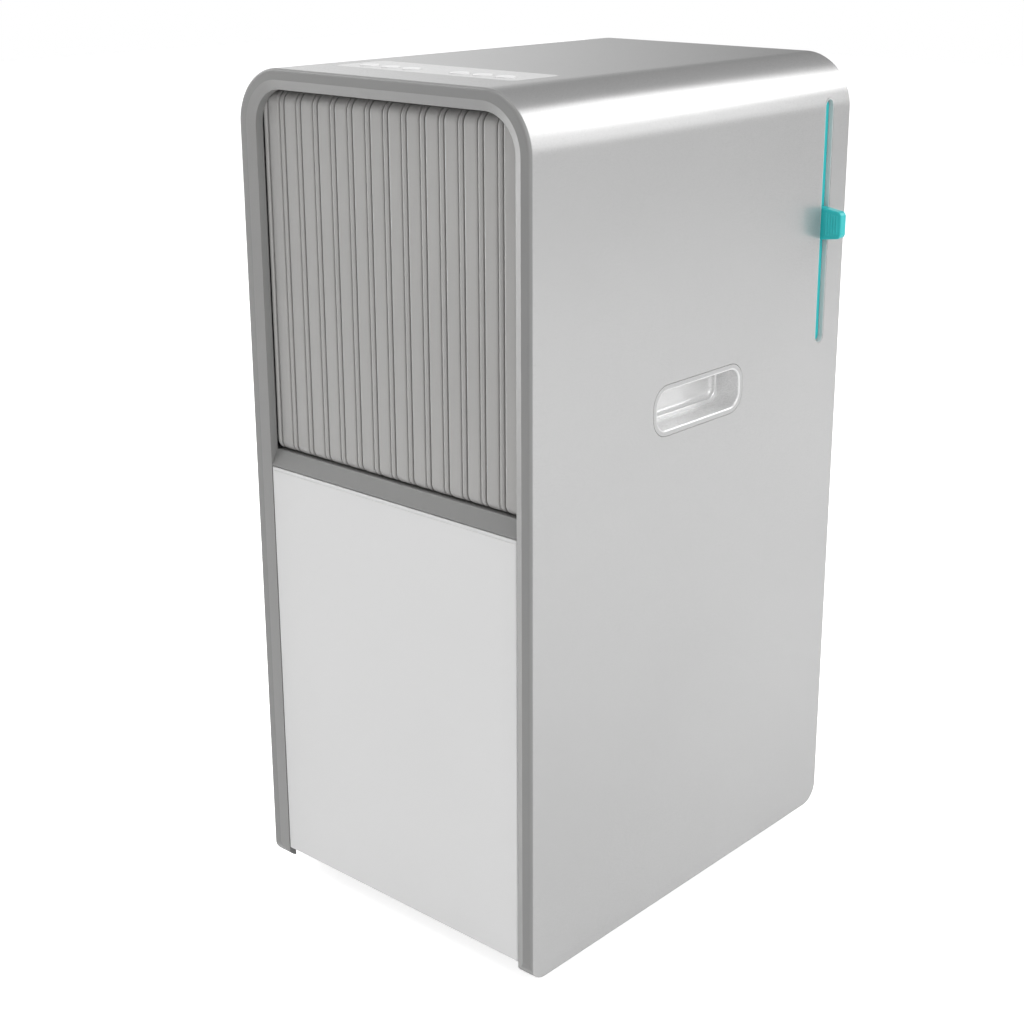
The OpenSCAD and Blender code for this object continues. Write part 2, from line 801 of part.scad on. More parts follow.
module caster_wheel(sx, sy) {
    half = wheel_w / 2;
    recess_in = axle_r + hub_wall;
    recess_out = wheel_r - tread_t;
    color(dark_plastic) translate([sx * caster_x, sy * caster_y + trail, wheel_r])
        rotate([0, 90, 0]) rotate_extrude() difference() {
            translate([axle_r + running_gap, -half]) square([wheel_r - axle_r - running_gap, wheel_w]);
            for (s = [-1, 1]) translate([(recess_in + recess_out) / 2, s * half])
                square([recess_out - recess_in, 2 * recess_deep], center = true);
            for (s = [0, 1]) mirror([0, s]) polygon([
                [wheel_r - tread_edge, half + weld],
                [wheel_r + weld, half - tread_edge],
                [wheel_r + weld, half + weld]
            ]);
        }
}

// Cooling circuit

compressor_gap = 10;          // from the compressor to the sleeve's side
compressor_set = 62;          // from the cabinet's front to the compressor
compressor_shoulder = 22;
terminal_r = 16;
terminal_h = 11;
foot_h = 11;
foot_disc_r = 9;
foot_in = 1;                  // how far a foot's middle lies inside the compressor's side
lug_w = 24;
lug_in = 30;
lug_out = 10;
lug_t = 3;
compressor_x = inner_x - compressor_r - compressor_gap;
compressor_y = front_y + compressor_r + compressor_set;
compressor_low_z = pan_top_z + foot_h;
bulkhead_rim = 8;
bulkhead_gap = 1;             // behind the vanes' frame

module bulkhead() {
    y0 = vane_back_y + bulkhead_gap;
    y1 = rear_in_y - wall - seam;
    top = bulkhead_z + wall + bulkhead_rim;
    color(dark_plastic) difference() {
        block([-inner_x, y0, bulkhead_z], [inner_x, y1, top]);
        block([-inner_x + wall, y0 + wall, bulkhead_z + wall], [inner_x - wall, y1 - wall, top + cut]);
        drain_clearance(upper_drain_z);
    }
}

// An upright pressure vessel with round shoulders
module vessel(x, y, z, r, h, shoulder) {
    translate([x, y, z]) rotate_extrude() intersection() {
        union() {
            translate([0, shoulder]) square([r, h - 2 * shoulder]);
            square([r - shoulder, h]);
            for (k = [shoulder, h - shoulder]) translate([r - shoulder, k]) circle(shoulder);
        }
        square([r + cut, h]);
    }
}

module compressor() {
    color(dark_plastic) translate([compressor_x, compressor_y, compressor_low_z]) union() {
        vessel(0, 0, 0, compressor_r, compressor_h, compressor_shoulder);
        for (k = [0 : 2]) rotate([0, 0, 90 + k * 120])
            block([compressor_r - lug_in, -lug_w / 2, 0], [compressor_r + lug_out, lug_w / 2, lug_t]);
        translate([0, 0, compressor_h - 1]) cylinder(h = terminal_h + 1, r = terminal_r);
    }
}

module compressor_feet() {
    color(dark_plastic) for (k = [0 : 2])
        translate([compressor_x, compressor_y, pan_top_z]) rotate([0, 0, 90 + k * 120])
            translate([compressor_r - foot_in, 0, 0]) cylinder(h = foot_h, r = foot_disc_r);
}

accumulator_gap = 8;
accumulator_back = 18;        // from the compressor's axis forward to the accumulator's
accumulator_rise = 30;
accumulator_shoulder = 12;
accumulator_stand_r = 6;
accumulator_x = compressor_x - compressor_r - accumulator_r - accumulator_gap;
accumulator_y = compressor_y - accumulator_back;
accumulator_z = pan_top_z + accumulator_rise;

module accumulator() {
    color(dark_plastic) translate([accumulator_x, accumulator_y, 0]) union() {
        vessel(0, 0, accumulator_z, accumulator_r, accumulator_h, accumulator_shoulder);
        translate([0, 0, pan_top_z]) cylinder(h = accumulator_rise + 1, r = accumulator_stand_r);
    }
}

// A bar of round section between two points
module tube_between(a, b, r) {
    d = b - a;
    l = norm(d);
    translate(a) rotate([0, acos(d[2] / l), atan2(d[1], d[0])]) cylinder(h = l, r = r);
}

// A pipe along straight runs, with a brazed elbow at each corner
module pipe_run(points, r) {
    for (i = [0 : len(points) - 2]) tube_between(points[i], points[i + 1], r);
    for (i = [1 : len(points) - 2]) translate(points[i]) sphere(r * elbow_swell);
}

coil_side_gap = 20;
coil_wall_gap = 4;
elbow_swell = 1.3;            // radius of a brazed elbow, as a share of the pipe's
pipe_rise = 45;               // from the compressor up to the pipes' level run
pipe_inset = 8;
cold_bend_drop = 20;          // from the level run down to the cold pipe's first bend
cold_bend_rise = 30;
cold_pipe_back = 32;
evaporator_front_y = coil_back_y - evaporator_t;
condenser_back_y = rear_in_y - wall - seam - coil_wall_gap;
condenser_front_y = condenser_back_y - condenser_t;
coil_half = inner_x - coil_side_gap;
coil_low_z = pan_z + stem_l;
coil_top_z = coil_low_z + condenser_h;
pipe_top_z = compressor_low_z + compressor_h + pipe_rise;

module refrigerant_pipes() {
    hot_x = coil_half - pipe_inset;
    hot_y = condenser_front_y + condenser_t / 2;
    cold_y = accumulator_y + cold_pipe_back;
    color(copper) union() {
        pipe_run([
            [compressor_x, compressor_y, compressor_low_z + compressor_h + terminal_h],
            [compressor_x, compressor_y, pipe_top_z],
            [hot_x, compressor_y, pipe_top_z],
            [hot_x, hot_y, pipe_top_z],
            [hot_x, hot_y, coil_top_z]
        ], pipe_r);
        pipe_run([
            [accumulator_x, accumulator_y, accumulator_z + accumulator_h],
            [accumulator_x, accumulator_y, pipe_top_z - cold_bend_drop],
            [accumulator_x, cold_y, pipe_top_z + cold_bend_rise],
            [accumulator_x, cold_y, bulkhead_z]
        ], pipe_r);
    }
}

capacitor_r = 20;
capacitor_h = 80;
capacitor_cap_r = 12;
capacitor_cap_h = 6;
capacitor_inset = 40;
capacitor_front = 20;         // from the compressor's axis forward to the capacitor's

module run_capacitor() {
    color(steel) translate([-inner_x + capacitor_inset, compressor_y - capacitor_front, pan_top_z]) union() {
        cylinder(h = capacitor_h, r = capacitor_r);
        cylinder(h = capacitor_h + capacitor_cap_h, r = capacitor_cap_r);
    }
}

fin_pitch = 7;
fin_deep = 8;
evaporator_over = 8;          // how far the evaporator reaches above the filter slot

// A finned block that lets air through from front to back
module finned_coil(y0, y1, z0, z1) {
    fins = floor(2 * coil_half / fin_pitch) - 1;
    translate([0, 0, z0]) linear_extrude(z1 - z0) difference() {
        translate([-coil_half, y0]) square([2 * coil_half, y1 - y0]);
        for (i = [1 : fins], s = [0, 1])
            translate([-coil_half + i * fin_pitch, s == 0 ? y0 - cut : y1 - fin_deep])
                square([fin_pitch / 2, fin_deep + cut]);
    }
}

module evaporator_coil() {
    color(steel)
        finned_coil(evaporator_front_y, coil_back_y, bulkhead_z + wall, slot_top_z + evaporator_over);
}

module condenser_coil() {
    color(steel) finned_coil(condenser_front_y, condenser_back_y, coil_low_z, coil_top_z);
}

// Blowers

scroll_gap = 12;              // round a blower wheel and in front of it
scroll_wall = 2;
scroll_end_gap = 8;           // behind a blower wheel
inlet_in = 18;                // from a wheel's rim in to its inlet
shaft_hole_gap = 2;
shaft_in_motor = 20;
motor_hole_gap = 4;           // past the shaft's end
motor_ear_r = 6;
motor_ear_t = 4;
motor_ear_out = 2;
wheel_ring_t = 3;
wheel_hub_wall = 6;
wheel_hub_l = 30;
blade_l = 12;
blade_t = 1.6;
upper_scroll_gap = 6;         // in front of the evaporator
lower_scroll_gap = 20;        // in front of the condenser
scroll_stand = 4;             // between a housing and the wall beside it
scroll_floor_gap = 1;
upper_scroll_r = upper_wheel_r + scroll_gap;
lower_scroll_r = lower_wheel_r + scroll_gap;
scroll_deep = blower_w + scroll_gap + scroll_end_gap;
upper_scroll_y1 = evaporator_front_y - upper_scroll_gap;
upper_scroll_y0 = upper_scroll_y1 - scroll_deep;
upper_blower_z = bulkhead_z + wall + upper_scroll_r + scroll_stand;
lower_scroll_y1 = condenser_front_y - lower_scroll_gap;
lower_scroll_y0 = lower_scroll_y1 - scroll_deep;
lower_blower_x = -inner_x + wall + lower_scroll_r + scroll_stand;
lower_blower_z = pan_top_z + lower_scroll_r + scroll_floor_gap;
duct_rise = 8;                // above the condenser
duct_over = 6;                // above the collar's bore
duct_side = 8;                // beside the collar's bore
duct_hole_gap = 1;            // round the collar's bore
duct_low_z = coil_top_z + duct_rise;
duct_top_z = collar_z + collar_r + duct_over;
duct_half = collar_r + duct_side;

// A blower housing: a round casing with a chute that rises to the given height
module scroll(x, z, y0, y1, r, inlet_r, chute_top_z) {
    difference() {
        along_y(y0, y1) translate([x, z]) union() {
            circle(r);
            square([r, chute_top_z - z]);
        }
        along_y(y0 + scroll_wall, y1 - scroll_wall) translate([x, z]) union() {
            circle(r - scroll_wall);
            translate([scroll_wall, 0]) square([r - 2 * scroll_wall, chute_top_z - z + cut]);
        }
        rod_y(x, z, y1 - 2 * scroll_wall, y1 + cut, inlet_r);
        rod_y(x, z, y0 - cut, y0 + 2 * scroll_wall, shaft_r + shaft_hole_gap);
    }
}

// A drum of forward-facing blades with its hub and shaft
module blower_wheel(x, z, y0, r) {
    translate([x, y0 + blower_w, z]) rotate([90, 0, 0]) union() {
        cylinder(h = blower_w + scroll_gap + shaft_in_motor, r = shaft_r);
        translate([0, 0, blower_w - wheel_ring_t]) cylinder(h = wheel_ring_t, r = r);
        translate([0, 0, blower_w - wheel_hub_l]) cylinder(h = wheel_hub_l, r = shaft_r + wheel_hub_wall);
        difference() {
            cylinder(h = wheel_ring_t, r = r);
            translate([0, 0, -cut]) cylinder(h = wheel_ring_t + 2 * cut, r = r - blade_l - 2);
        }
        for (i = [0 : blades - 1]) rotate([0, 0, i * 360 / blades])
            translate([r - blade_l - 1, -blade_t / 2, 1]) cube([blade_l, blade_t, blower_w - 2]);
    }
}

module blower_motor(x, z, y1) {
    difference() {
        union() {
            rod_y(x, z, y1 - motor_l, y1, motor_r);
            for (a = [45 : 90 : 315]) translate([x, 0, z]) rotate([0, a, 0])
                rod_y(motor_r + motor_ear_out, 0, y1 - motor_ear_t, y1, motor_ear_r);
        }
        rod_y(x, z, y1 - shaft_in_motor - motor_hole_gap, y1 + cut, shaft_r + running_gap);
    }
}

module evaporator_scroll() {
    color(dark_plastic) scroll(0, upper_blower_z, upper_scroll_y0, upper_scroll_y1,
        upper_scroll_r, upper_wheel_r - inlet_in, slot_top_z);
}

module evaporator_wheel() {
    color(dark_plastic) blower_wheel(0, upper_blower_z, upper_scroll_y0 + scroll_gap, upper_wheel_r);
}

module evaporator_motor() {
    color(steel) blower_motor(0, upper_blower_z, upper_scroll_y0);
}

module condenser_scroll() {
    color(dark_plastic) scroll(lower_blower_x, lower_blower_z, lower_scroll_y0, lower_scroll_y1,
        lower_scroll_r, lower_wheel_r - inlet_in, duct_low_z);
}

module condenser_wheel() {
    color(dark_plastic)
        blower_wheel(lower_blower_x, lower_blower_z, lower_scroll_y0 + scroll_gap, lower_wheel_r);
}

module condenser_motor() {
    color(steel) blower_motor(lower_blower_x, lower_blower_z, lower_scroll_y0);
}

module exhaust_duct() {
    color(dark_plastic) difference() {
        block([-duct_half, lower_scroll_y0, duct_low_z], [duct_half, collar_in_y, duct_top_z]);
        block([-duct_half + wall, lower_scroll_y0 + wall, duct_low_z + wall],
            [duct_half - wall, collar_in_y - wall, duct_top_z - wall]);
        block([lower_blower_x + scroll_wall, lower_scroll_y0 + scroll_wall, duct_low_z - cut], [
            lower_blower_x + lower_scroll_r - scroll_wall,
            lower_scroll_y1 - scroll_wall,
            duct_low_z + 2 * wall
        ]);
        rod_y(0, collar_z, collar_in_y - 2 * wall, collar_in_y + cut, collar_r + duct_hole_gap);
    }
}

// Swing vanes

vanes = 5;                    // one node each
vane_room = 6;                // in front of a vane and behind it
vane_front_y = rib_face_y + rib_deep;
vane_deep = vane_chord + 2 * vane_room;
vane_back_y = vane_front_y + vane_deep;
vane_axis_y = vane_front_y + vane_deep / 2;
vane_pin_r = 2.5;
vane_frame_t = 4;
vane_end_gap = 1;
crank_room = 8;               // height left under a vane for its crank and the tie bar
vane_pin_end = 0.5;           // from a pin's end to the frame's outside
vane_pin_root = 4;            // how far a pin runs into its vane
vane_frame_low_z = sill_top_z;
vane_frame_top_z = rib_top_z - vane_end_gap;
vane_low_z = vane_frame_low_z + vane_frame_t + crank_room;
vane_top_z = vane_frame_top_z - vane_frame_t - vane_end_gap;
vane_xs = [for (i = [0 : vanes - 1]) (i - (vanes - 1) / 2) * vane_pitch];
crank_z = vane_frame_low_z + vane_frame_t + vane_end_gap;
crank_t = 1.5;
crank_end = 2.5;              // past the crank pin's middle
crank_pin_r = 1.5;
crank_pin_over = 1.6;         // above the tie bar's upper face
link_t = 1.5;
link_gap = 0.5;               // between the tie bar and the cranks
link_end = 8;
link_half_w = 5.5;
link_slot_gap = 0.5;
link_slot_front = 4;
link_slot_back = 2.5;
vane_motor_r = 14;
vane_motor_h = 18;
vane_motor_ear_l = 42;
vane_motor_ear_w = 8;
vane_motor_ear_t = 2;
frame_half = side_x - wall - top_r / 2;

module vane_frame() {
    tall = vane_frame_top_z - vane_frame_low_z;
    color(dark_plastic) difference() {
        along_y(vane_front_y, vane_back_y) difference() {
            translate([-frame_half, vane_frame_low_z]) square([2 * frame_half, tall]);
            translate([-frame_half + vane_frame_t, vane_frame_low_z + vane_frame_t])
                square([2 * (frame_half - vane_frame_t), tall - 2 * vane_frame_t]);
        }
        for (x = vane_xs, z = [vane_frame_low_z, vane_frame_top_z - vane_frame_t])
            translate([x, vane_axis_y, z - cut])
                cylinder(h = vane_frame_t + 2 * cut, r = vane_pin_r + running_gap);
    }
}

module vane(x) {
    pin_low = vane_frame_low_z + vane_pin_end;
    pin_top = vane_frame_top_z - vane_pin_end;
    crank_top = crank_z + crank_t;
    color(dark_plastic) translate([x, vane_axis_y, 0]) union() {
        block([-vane_t / 2, -vane_chord / 2, vane_low_z], [vane_t / 2, vane_chord / 2, vane_top_z]);
        translate([0, 0, pin_low]) cylinder(h = vane_low_z + vane_pin_root - pin_low, r = vane_pin_r);
        translate([0, 0, vane_top_z - vane_pin_root])
            cylinder(h = pin_top - vane_top_z + vane_pin_root, r = vane_pin_r);
        block([-vane_pin_r, 0, crank_z], [vane_pin_r, crank_r + crank_end, crank_top]);
        translate([0, crank_r, crank_top - weld])
            cylinder(h = link_t + crank_pin_over + weld, r = crank_pin_r);
    }
}

// The bar that ties the cranks; its slots leave room for their arcs
module vane_link() {
    z = crank_z + crank_t + link_gap;
    y = vane_axis_y + crank_r;
    half_l = vane_xs[vanes - 1] + link_end;
    half_slot = crank_pin_r + link_slot_gap;
    color(dark_plastic) difference() {
        block([-half_l, y - link_half_w, z], [half_l, y + link_half_w, z + link_t]);
        for (x = vane_xs) block([x - half_slot, y - link_slot_front, z - cut],
            [x + half_slot, y + link_slot_back, z + link_t + cut]);
    }
}

module vane_motor() {
    x = vane_xs[(vanes - 1) / 2];
    color(steel) translate([x, vane_axis_y, vane_frame_low_z]) union() {
        translate([0, 0, -vane_motor_h]) cylinder(h = vane_motor_h, r = vane_motor_r);
        block([-vane_motor_ear_l / 2, -vane_motor_ear_w / 2, -vane_motor_ear_t],
            [vane_motor_ear_l / 2, vane_motor_ear_w / 2, 0]);
    }
}

outer_shell();
front_bezel();
front_panel();
outlet_sill();
outlet_grille();
control_fascia();
control_board();
control_button(button_xs[2]);  // power_button
control_button(button_xs[1]);  // mode_button
control_button(button_xs[0]);  // swing_button
control_button(button_xs[3]);  // timer_button
control_button(button_xs[4]);  // warmer_button
control_button(button_xs[5]);  // cooler_button
handle_cup(1);  // handle_cup_right
handle_cup(-1);  // handle_cup_left
rear_panel();
panel_screws();
exhaust_collar();
cord_gland();
drain_plug(upper_drain_z);  // upper_drain_plug
drain_plug(lower_drain_z);  // lower_drain_plug
base_pan();
caster_yoke(1, -1);  // caster_yoke_fr
caster_yoke(-1, -1);  // caster_yoke_fl
caster_yoke(1, 1);  // caster_yoke_rr
caster_yoke(-1, 1);  // caster_yoke_rl
caster_axle(1, -1);  // caster_axle_fr
caster_axle(-1, -1);  // caster_axle_fl
caster_axle(1, 1);  // caster_axle_rr
caster_axle(-1, 1);  // caster_axle_rl
caster_wheel(1, -1);  // caster_wheel_fr
caster_wheel(-1, -1);  // caster_wheel_fl
caster_wheel(1, 1);  // caster_wheel_rr
caster_wheel(-1, 1);  // caster_wheel_rl
bulkhead();
compressor();
compressor_feet();
accumulator();
refrigerant_pipes();
run_capacitor();
evaporator_coil();
condenser_coil();
evaporator_scroll();
evaporator_wheel();
evaporator_motor();
condenser_scroll();
condenser_wheel();
condenser_motor();
exhaust_duct();
filter_guide();
filter_frame();
filter_mesh();
vane_frame();
vane_link();
vane_motor();
vane(vane_xs[0]);  // vane_1
vane(vane_xs[1]);  // vane_2
vane(vane_xs[2]);  // vane_3
vane(vane_xs[3]);  // vane_4
vane(vane_xs[4]);  // vane_5
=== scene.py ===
import math
import bpy
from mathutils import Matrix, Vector


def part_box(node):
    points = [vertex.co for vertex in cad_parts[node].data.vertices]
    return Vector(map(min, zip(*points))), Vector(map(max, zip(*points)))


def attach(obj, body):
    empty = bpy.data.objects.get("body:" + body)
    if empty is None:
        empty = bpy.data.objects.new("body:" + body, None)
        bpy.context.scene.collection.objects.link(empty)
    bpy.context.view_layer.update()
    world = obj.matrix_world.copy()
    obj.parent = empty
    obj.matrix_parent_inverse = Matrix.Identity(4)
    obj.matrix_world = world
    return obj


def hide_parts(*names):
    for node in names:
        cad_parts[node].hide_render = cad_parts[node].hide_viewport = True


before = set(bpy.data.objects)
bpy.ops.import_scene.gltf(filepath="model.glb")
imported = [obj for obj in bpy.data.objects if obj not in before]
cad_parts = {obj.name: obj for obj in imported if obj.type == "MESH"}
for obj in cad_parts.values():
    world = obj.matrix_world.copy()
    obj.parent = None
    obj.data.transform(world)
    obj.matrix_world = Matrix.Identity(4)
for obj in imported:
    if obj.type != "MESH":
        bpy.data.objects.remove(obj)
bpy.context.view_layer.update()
print("frame loaded:", len(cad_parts), "nodes")

# Camera and studio

cameraPlan = {
    "place": (1.034, -1.203, 0.898),
    "azimuth": 41.28,
    "pitch": 17.62,
    "lens": 62.6,
    "shift": (-0.0235, -0.05),
}
studioPlan = {
    "skyTop": 0.20,
    "skyLeft": 1.60,      # the dome far to the left, behind, and low on the right
    "skyBack": 0.08,
    "skyRight": 1.05,
    "floorSize": 16.0,
    "floorGlow": 0.16,    # how much the floor lights the object
    "floorSeen": 0.80,    # how bright it looks itself
}
lightPlan = {
    "archBox": {"place": (1.45, 2.8, 2.55), "aim": (0.1, 0.0, 0.75), "size": (1.8, 1.7), "power": 40},
    "archFade": {"place": (2.5, 2.7, 1.5), "aim": (0.1, 0.0, 0.7), "size": (1.4, 1.3), "power": 9},
    "frontBox": {"place": (2.4, -3.0, 1.6), "aim": (0.0, 0.0, 0.35), "size": (1.8, 2.0), "power": 11},
    "keyBox": {"place": (-2.3, -1.6, 2.9), "aim": (0.0, -0.2, 0.5), "size": (1.4, 1.4), "power": 24},
    "leftStrip": {"place": (-3.3, -0.7, 1.0), "aim": (0.0, -0.2, 0.5), "size": (0.8, 2.2), "power": 20},
    "lowLeft": {"place": (-1.4, -0.2, 0.30), "aim": (0.0, -0.2, 0.45), "size": (0.45, 0.55), "power": 4},
    "sideBox": {"place": (3.3, -0.8, 2.8), "aim": (0.0, 0.0, 0.5), "size": (2.2, 2.2), "power": 62},
    "topBox": {"place": (0.0, -0.3, 3.6), "aim": (0.0, 0.0, 0.7), "size": (1.8, 1.8), "power": 30},
}


def makeCamera():
    data = bpy.data.cameras.new("camera")
    camera = bpy.data.objects.new("camera", data)
    bpy.context.collection.objects.link(camera)
    camera.location = cameraPlan["place"]
    turn = math.radians(90 - cameraPlan["pitch"])
    camera.rotation_euler = (turn, 0, math.radians(cameraPlan["azimuth"]))
    data.sensor_width = 36
    data.lens = cameraPlan["lens"]
    data.shift_x, data.shift_y = cameraPlan["shift"]
    data.clip_start = 0.05
    data.dof.use_dof = False
    bpy.context.scene.camera = camera


def makeLight(name, plan):
    data = bpy.data.lights.new(name, "AREA")
    data.shape = "RECTANGLE"
    data.size, data.size_y = plan["size"]
    data.energy = plan["power"]
    light = bpy.data.objects.new(name, data)
    bpy.context.collection.objects.link(light)
    light.location = plan["place"]
    way = Vector(plan["aim"]) - light.location
    light.rotation_euler = way.to_track_quat("-Z", "Y").to_euler()
    light.visible_camera = False


def makeMath(tree, operation, a, b):
    node = tree.nodes.new("ShaderNodeMath")
    node.operation = operation
    for socket, value in zip(node.inputs, (a, b)):
        if isinstance(value, (int, float)):
            socket.default_value = value
        else:
            tree.links.new(value, socket)
    return node.outputs[0]


def makeRange(tree, value, low, high, toLow, toHigh):
    node = tree.nodes.new("ShaderNodeMapRange")
    tree.links.new(value, node.inputs["Value"])
    for label, number in (("From Min", low), ("From Max", high), ("To Min", toLow), ("To Max", toHigh)):
        if isinstance(number, (int, float)):
            node.inputs[label].default_value = number
        else:
            tree.links.new(number, node.inputs[label])
    return node.outputs[0]


def makeSky():
    # white behind the object, and a softer grey dome for light and reflections
    world = bpy.data.worlds.new("studioSky")
    bpy.context.scene.world = world
    world.use_nodes = True
    tree = world.node_tree
    tree.nodes.clear()
    place = tree.nodes.new("ShaderNodeTexCoord")
    split = tree.nodes.new("ShaderNodeSeparateXYZ")
    across, upward = split.outputs["X"], split.outputs["Z"]
    back = studioPlan["skyBack"]
    left = makeRange(tree, across, -0.50, -0.90, back, studioPlan["skyLeft"])
    right = makeRange(tree, across, 0.40, 0.65, back, studioPlan["skyRight"])
    height = makeRange(tree, upward, 0.0, 0.6, right, studioPlan["skyTop"])
    brighter = makeMath(tree, "MAXIMUM", left, height)
    dome = tree.nodes.new("ShaderNodeBackground")
    backdrop = tree.nodes.new("ShaderNodeBackground")
    backdrop.inputs["Color"].default_value = (1, 1, 1, 1)
    seen = tree.nodes.new("ShaderNodeLightPath")
    choose = tree.nodes.new("ShaderNodeMixShader")
    output = tree.nodes.new("ShaderNodeOutputWorld")
    tree.links.new(place.outputs["Generated"], split.inputs[0])
    tree.links.new(brighter, dome.inputs["Color"])
    tree.links.new(seen.outputs["Is Camera Ray"], choose.inputs[0])
    tree.links.new(dome.outputs[0], choose.inputs[1])
    tree.links.new(backdrop.outputs[0], choose.inputs[2])
    tree.links.new(choose.outputs[0], output.inputs[0])


makeCamera()
makeSky()
for lightName, lightFacts in lightPlan.items():
    makeLight(lightName, lightFacts)
bpy.context.scene.view_settings.view_transform = "Standard"
print("camera and studio ready")

# Modelling helpers

tiny = 1e-5


def clearSelection():
    if bpy.context.object and bpy.context.object.mode != "OBJECT":
        bpy.ops.object.mode_set(mode="OBJECT")
    bpy.ops.object.select_all(action="DESELECT")


def makeActive(piece):
    clearSelection()
    piece.select_set(True)
    bpy.context.view_layer.objects.active = piece


def applyPlace(piece):
    makeActive(piece)
    bpy.ops.object.transform_apply(location=True, rotation=True, scale=True)


def nameIt(piece, name):
    piece.name = name
    piece.data.name = name
    return piece


def addBlock(name, low, high):
    clearSelection()
    low, high = Vector(low), Vector(high)
    bpy.ops.mesh.primitive_cube_add(size=1, location=(low + high) / 2, scale=high - low)
    piece = nameIt(bpy.context.object, name)
    applyPlace(piece)
    return piece


def addCylinder(name, centre, radius, length, sides, turn=(0, 0, 0)):
    clearSelection()
    bpy.ops.mesh.primitive_cylinder_add(vertices=sides, radius=radius, depth=length, location=centre,
                                        rotation=turn)
    piece = nameIt(bpy.context.object, name)
    applyPlace(piece)
    return piece


def same(a, b, slack=1e-5):
    return abs(a - b) < slack


def startEdit(piece, kind, action="SELECT"):
    makeActive(piece)
    bpy.ops.object.mode_set(mode="EDIT")
    bpy.ops.mesh.select_mode(type=kind)
    bpy.ops.mesh.select_all(action=action)


def endEdit():
    bpy.ops.object.mode_set(mode="OBJECT")


def selectEdges(piece, test):
    mesh = piece.data
    startEdit(piece, "EDGE", "DESELECT")
    endEdit()
    for edge in mesh.edges:
        a, b = (mesh.vertices[i].co for i in edge.vertices)
        edge.select = bool(test(a, b))
    bpy.ops.object.mode_set(mode="EDIT")


def selectFaces(piece, test):
    startEdit(piece, "FACE", "DESELECT")
    endEdit()
    for face in piece.data.polygons:
        face.select = bool(test(face.center, face.normal))
    bpy.ops.object.mode_set(mode="EDIT")


def bevelEdges(piece, test, width, segments, profile=0.5):
    selectEdges(piece, test)
    bpy.ops.mesh.bevel(offset=width, offset_type="OFFSET", segments=segments, profile=profile,
                       affect="EDGES", clamp_overlap=False)
    endEdit()


def deleteFaces(piece, test):
    selectFaces(piece, test)
    bpy.ops.mesh.delete(type="FACE")
    endEdit()


def runsAlong(a, b, axis):
    way = b - a
    return abs(way[axis]) > 0.999 * way.length


def addModifier(piece, kind, **facts):
    makeActive(piece)
    modifier = piece.modifiers.new(kind.lower(), kind)
    for key, value in facts.items():
        setattr(modifier, key, value)
    bpy.ops.object.modifier_apply(modifier=modifier.name)


def cutWith(piece, cutter, operation="DIFFERENCE"):
    addModifier(piece, "BOOLEAN", object=cutter, operation=operation, solver="EXACT")
    mesh = cutter.data
    bpy.data.objects.remove(cutter)
    bpy.data.meshes.remove(mesh)


def joinPieces(pieces, name):
    clearSelection()
    for piece in pieces:
        piece.select_set(True)
    bpy.context.view_layer.objects.active = pieces[0]
    bpy.ops.object.join()
    return nameIt(bpy.context.object, name)


def copyPiece(piece, name, shift=(0, 0, 0)):
    twin = piece.copy()
    twin.data = piece.data.copy()
    nameIt(twin, name)
    bpy.context.collection.objects.link(twin)
    twin.location = shift
    applyPlace(twin)
    return twin


def mirrorPiece(piece, name):
    twin = copyPiece(piece, name)
    twin.scale = (-1, 1, 1)
    applyPlace(twin)
    startEdit(twin, "VERT")
    bpy.ops.mesh.normals_make_consistent(inside=False)
    endEdit()
    return twin


def easeEdges(piece, width, segments=2, angle=30):
    addModifier(piece, "BEVEL", width=width, segments=segments, limit_method="ANGLE",
                angle_limit=math.radians(angle), miter_outer="MITER_ARC", harden_normals=False)


def smoothShade(piece, angle=35):
    makeActive(piece)
    bpy.ops.object.shade_smooth_by_angle(angle=math.radians(angle))
    addModifier(piece, "WEIGHTED_NORMAL", keep_sharp=True, weight=80)


def roundedBlock(name, low, high, axis, radius, segments=10):
    piece = addBlock(name, low, high)
    bevelEdges(piece, lambda a, b: runsAlong(a, b, axis), radius, segments)
    return piece


def lathe(name, profile, centre, axis, steps=64, closed=False):
    # profile: pairs of (distance from the axis, distance along the axis)
    out = (Vector((0, 1, 0)), Vector((0, 0, 1)), Vector((1, 0, 0)))[axis]
    along = Vector([1.0 if i == axis else 0.0 for i in range(3)])
    spots = [Vector(centre) + out * r + along * d for r, d in profile]
    if closed:
        spots.append(spots[0])
    clearSelection()
    bpy.ops.mesh.primitive_plane_add(size=0.001, location=(0, 0, 0))
    piece = nameIt(bpy.context.object, name)
    startEdit(piece, "VERT")
    bpy.ops.mesh.merge(type="CENTER")
    bpy.ops.transform.translate(value=spots[0])
    for last, spot in zip(spots, spots[1:]):
        bpy.ops.mesh.extrude_vertices_move(TRANSFORM_OT_translate={"value": spot - last})
    bpy.ops.mesh.select_all(action="SELECT")
    bpy.ops.mesh.spin(steps=steps, angle=math.tau, center=centre, axis=along)
    bpy.ops.mesh.select_all(action="SELECT")
    bpy.ops.mesh.remove_doubles(threshold=1e-6)
    bpy.ops.mesh.normals_make_consistent(inside=False)
    endEdit()
    return piece


def refinedCopy(node, name, width=0.0005, segments=2):
    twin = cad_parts[node].copy()
    twin.data = twin.data.copy()
    nameIt(twin, name)
    for key in list(twin.keys()):
        del twin[key]
    bpy.context.collection.objects.link(twin)
    twin.parent = None
    startEdit(twin, "VERT")
    bpy.ops.mesh.remove_doubles(threshold=1e-6)
    bpy.ops.mesh.dissolve_limited(angle_limit=math.radians(0.5))
    endEdit()
    easeEdges(twin, width, segments)
    smoothShade(twin)
    return twin


def finishPiece(piece, body, slotName, *nodes):
    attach(piece, body)
    if nodes:
        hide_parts(*nodes)


def nodeMiddle(node):
    low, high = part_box(node)
    return (low + high) / 2


# Floor

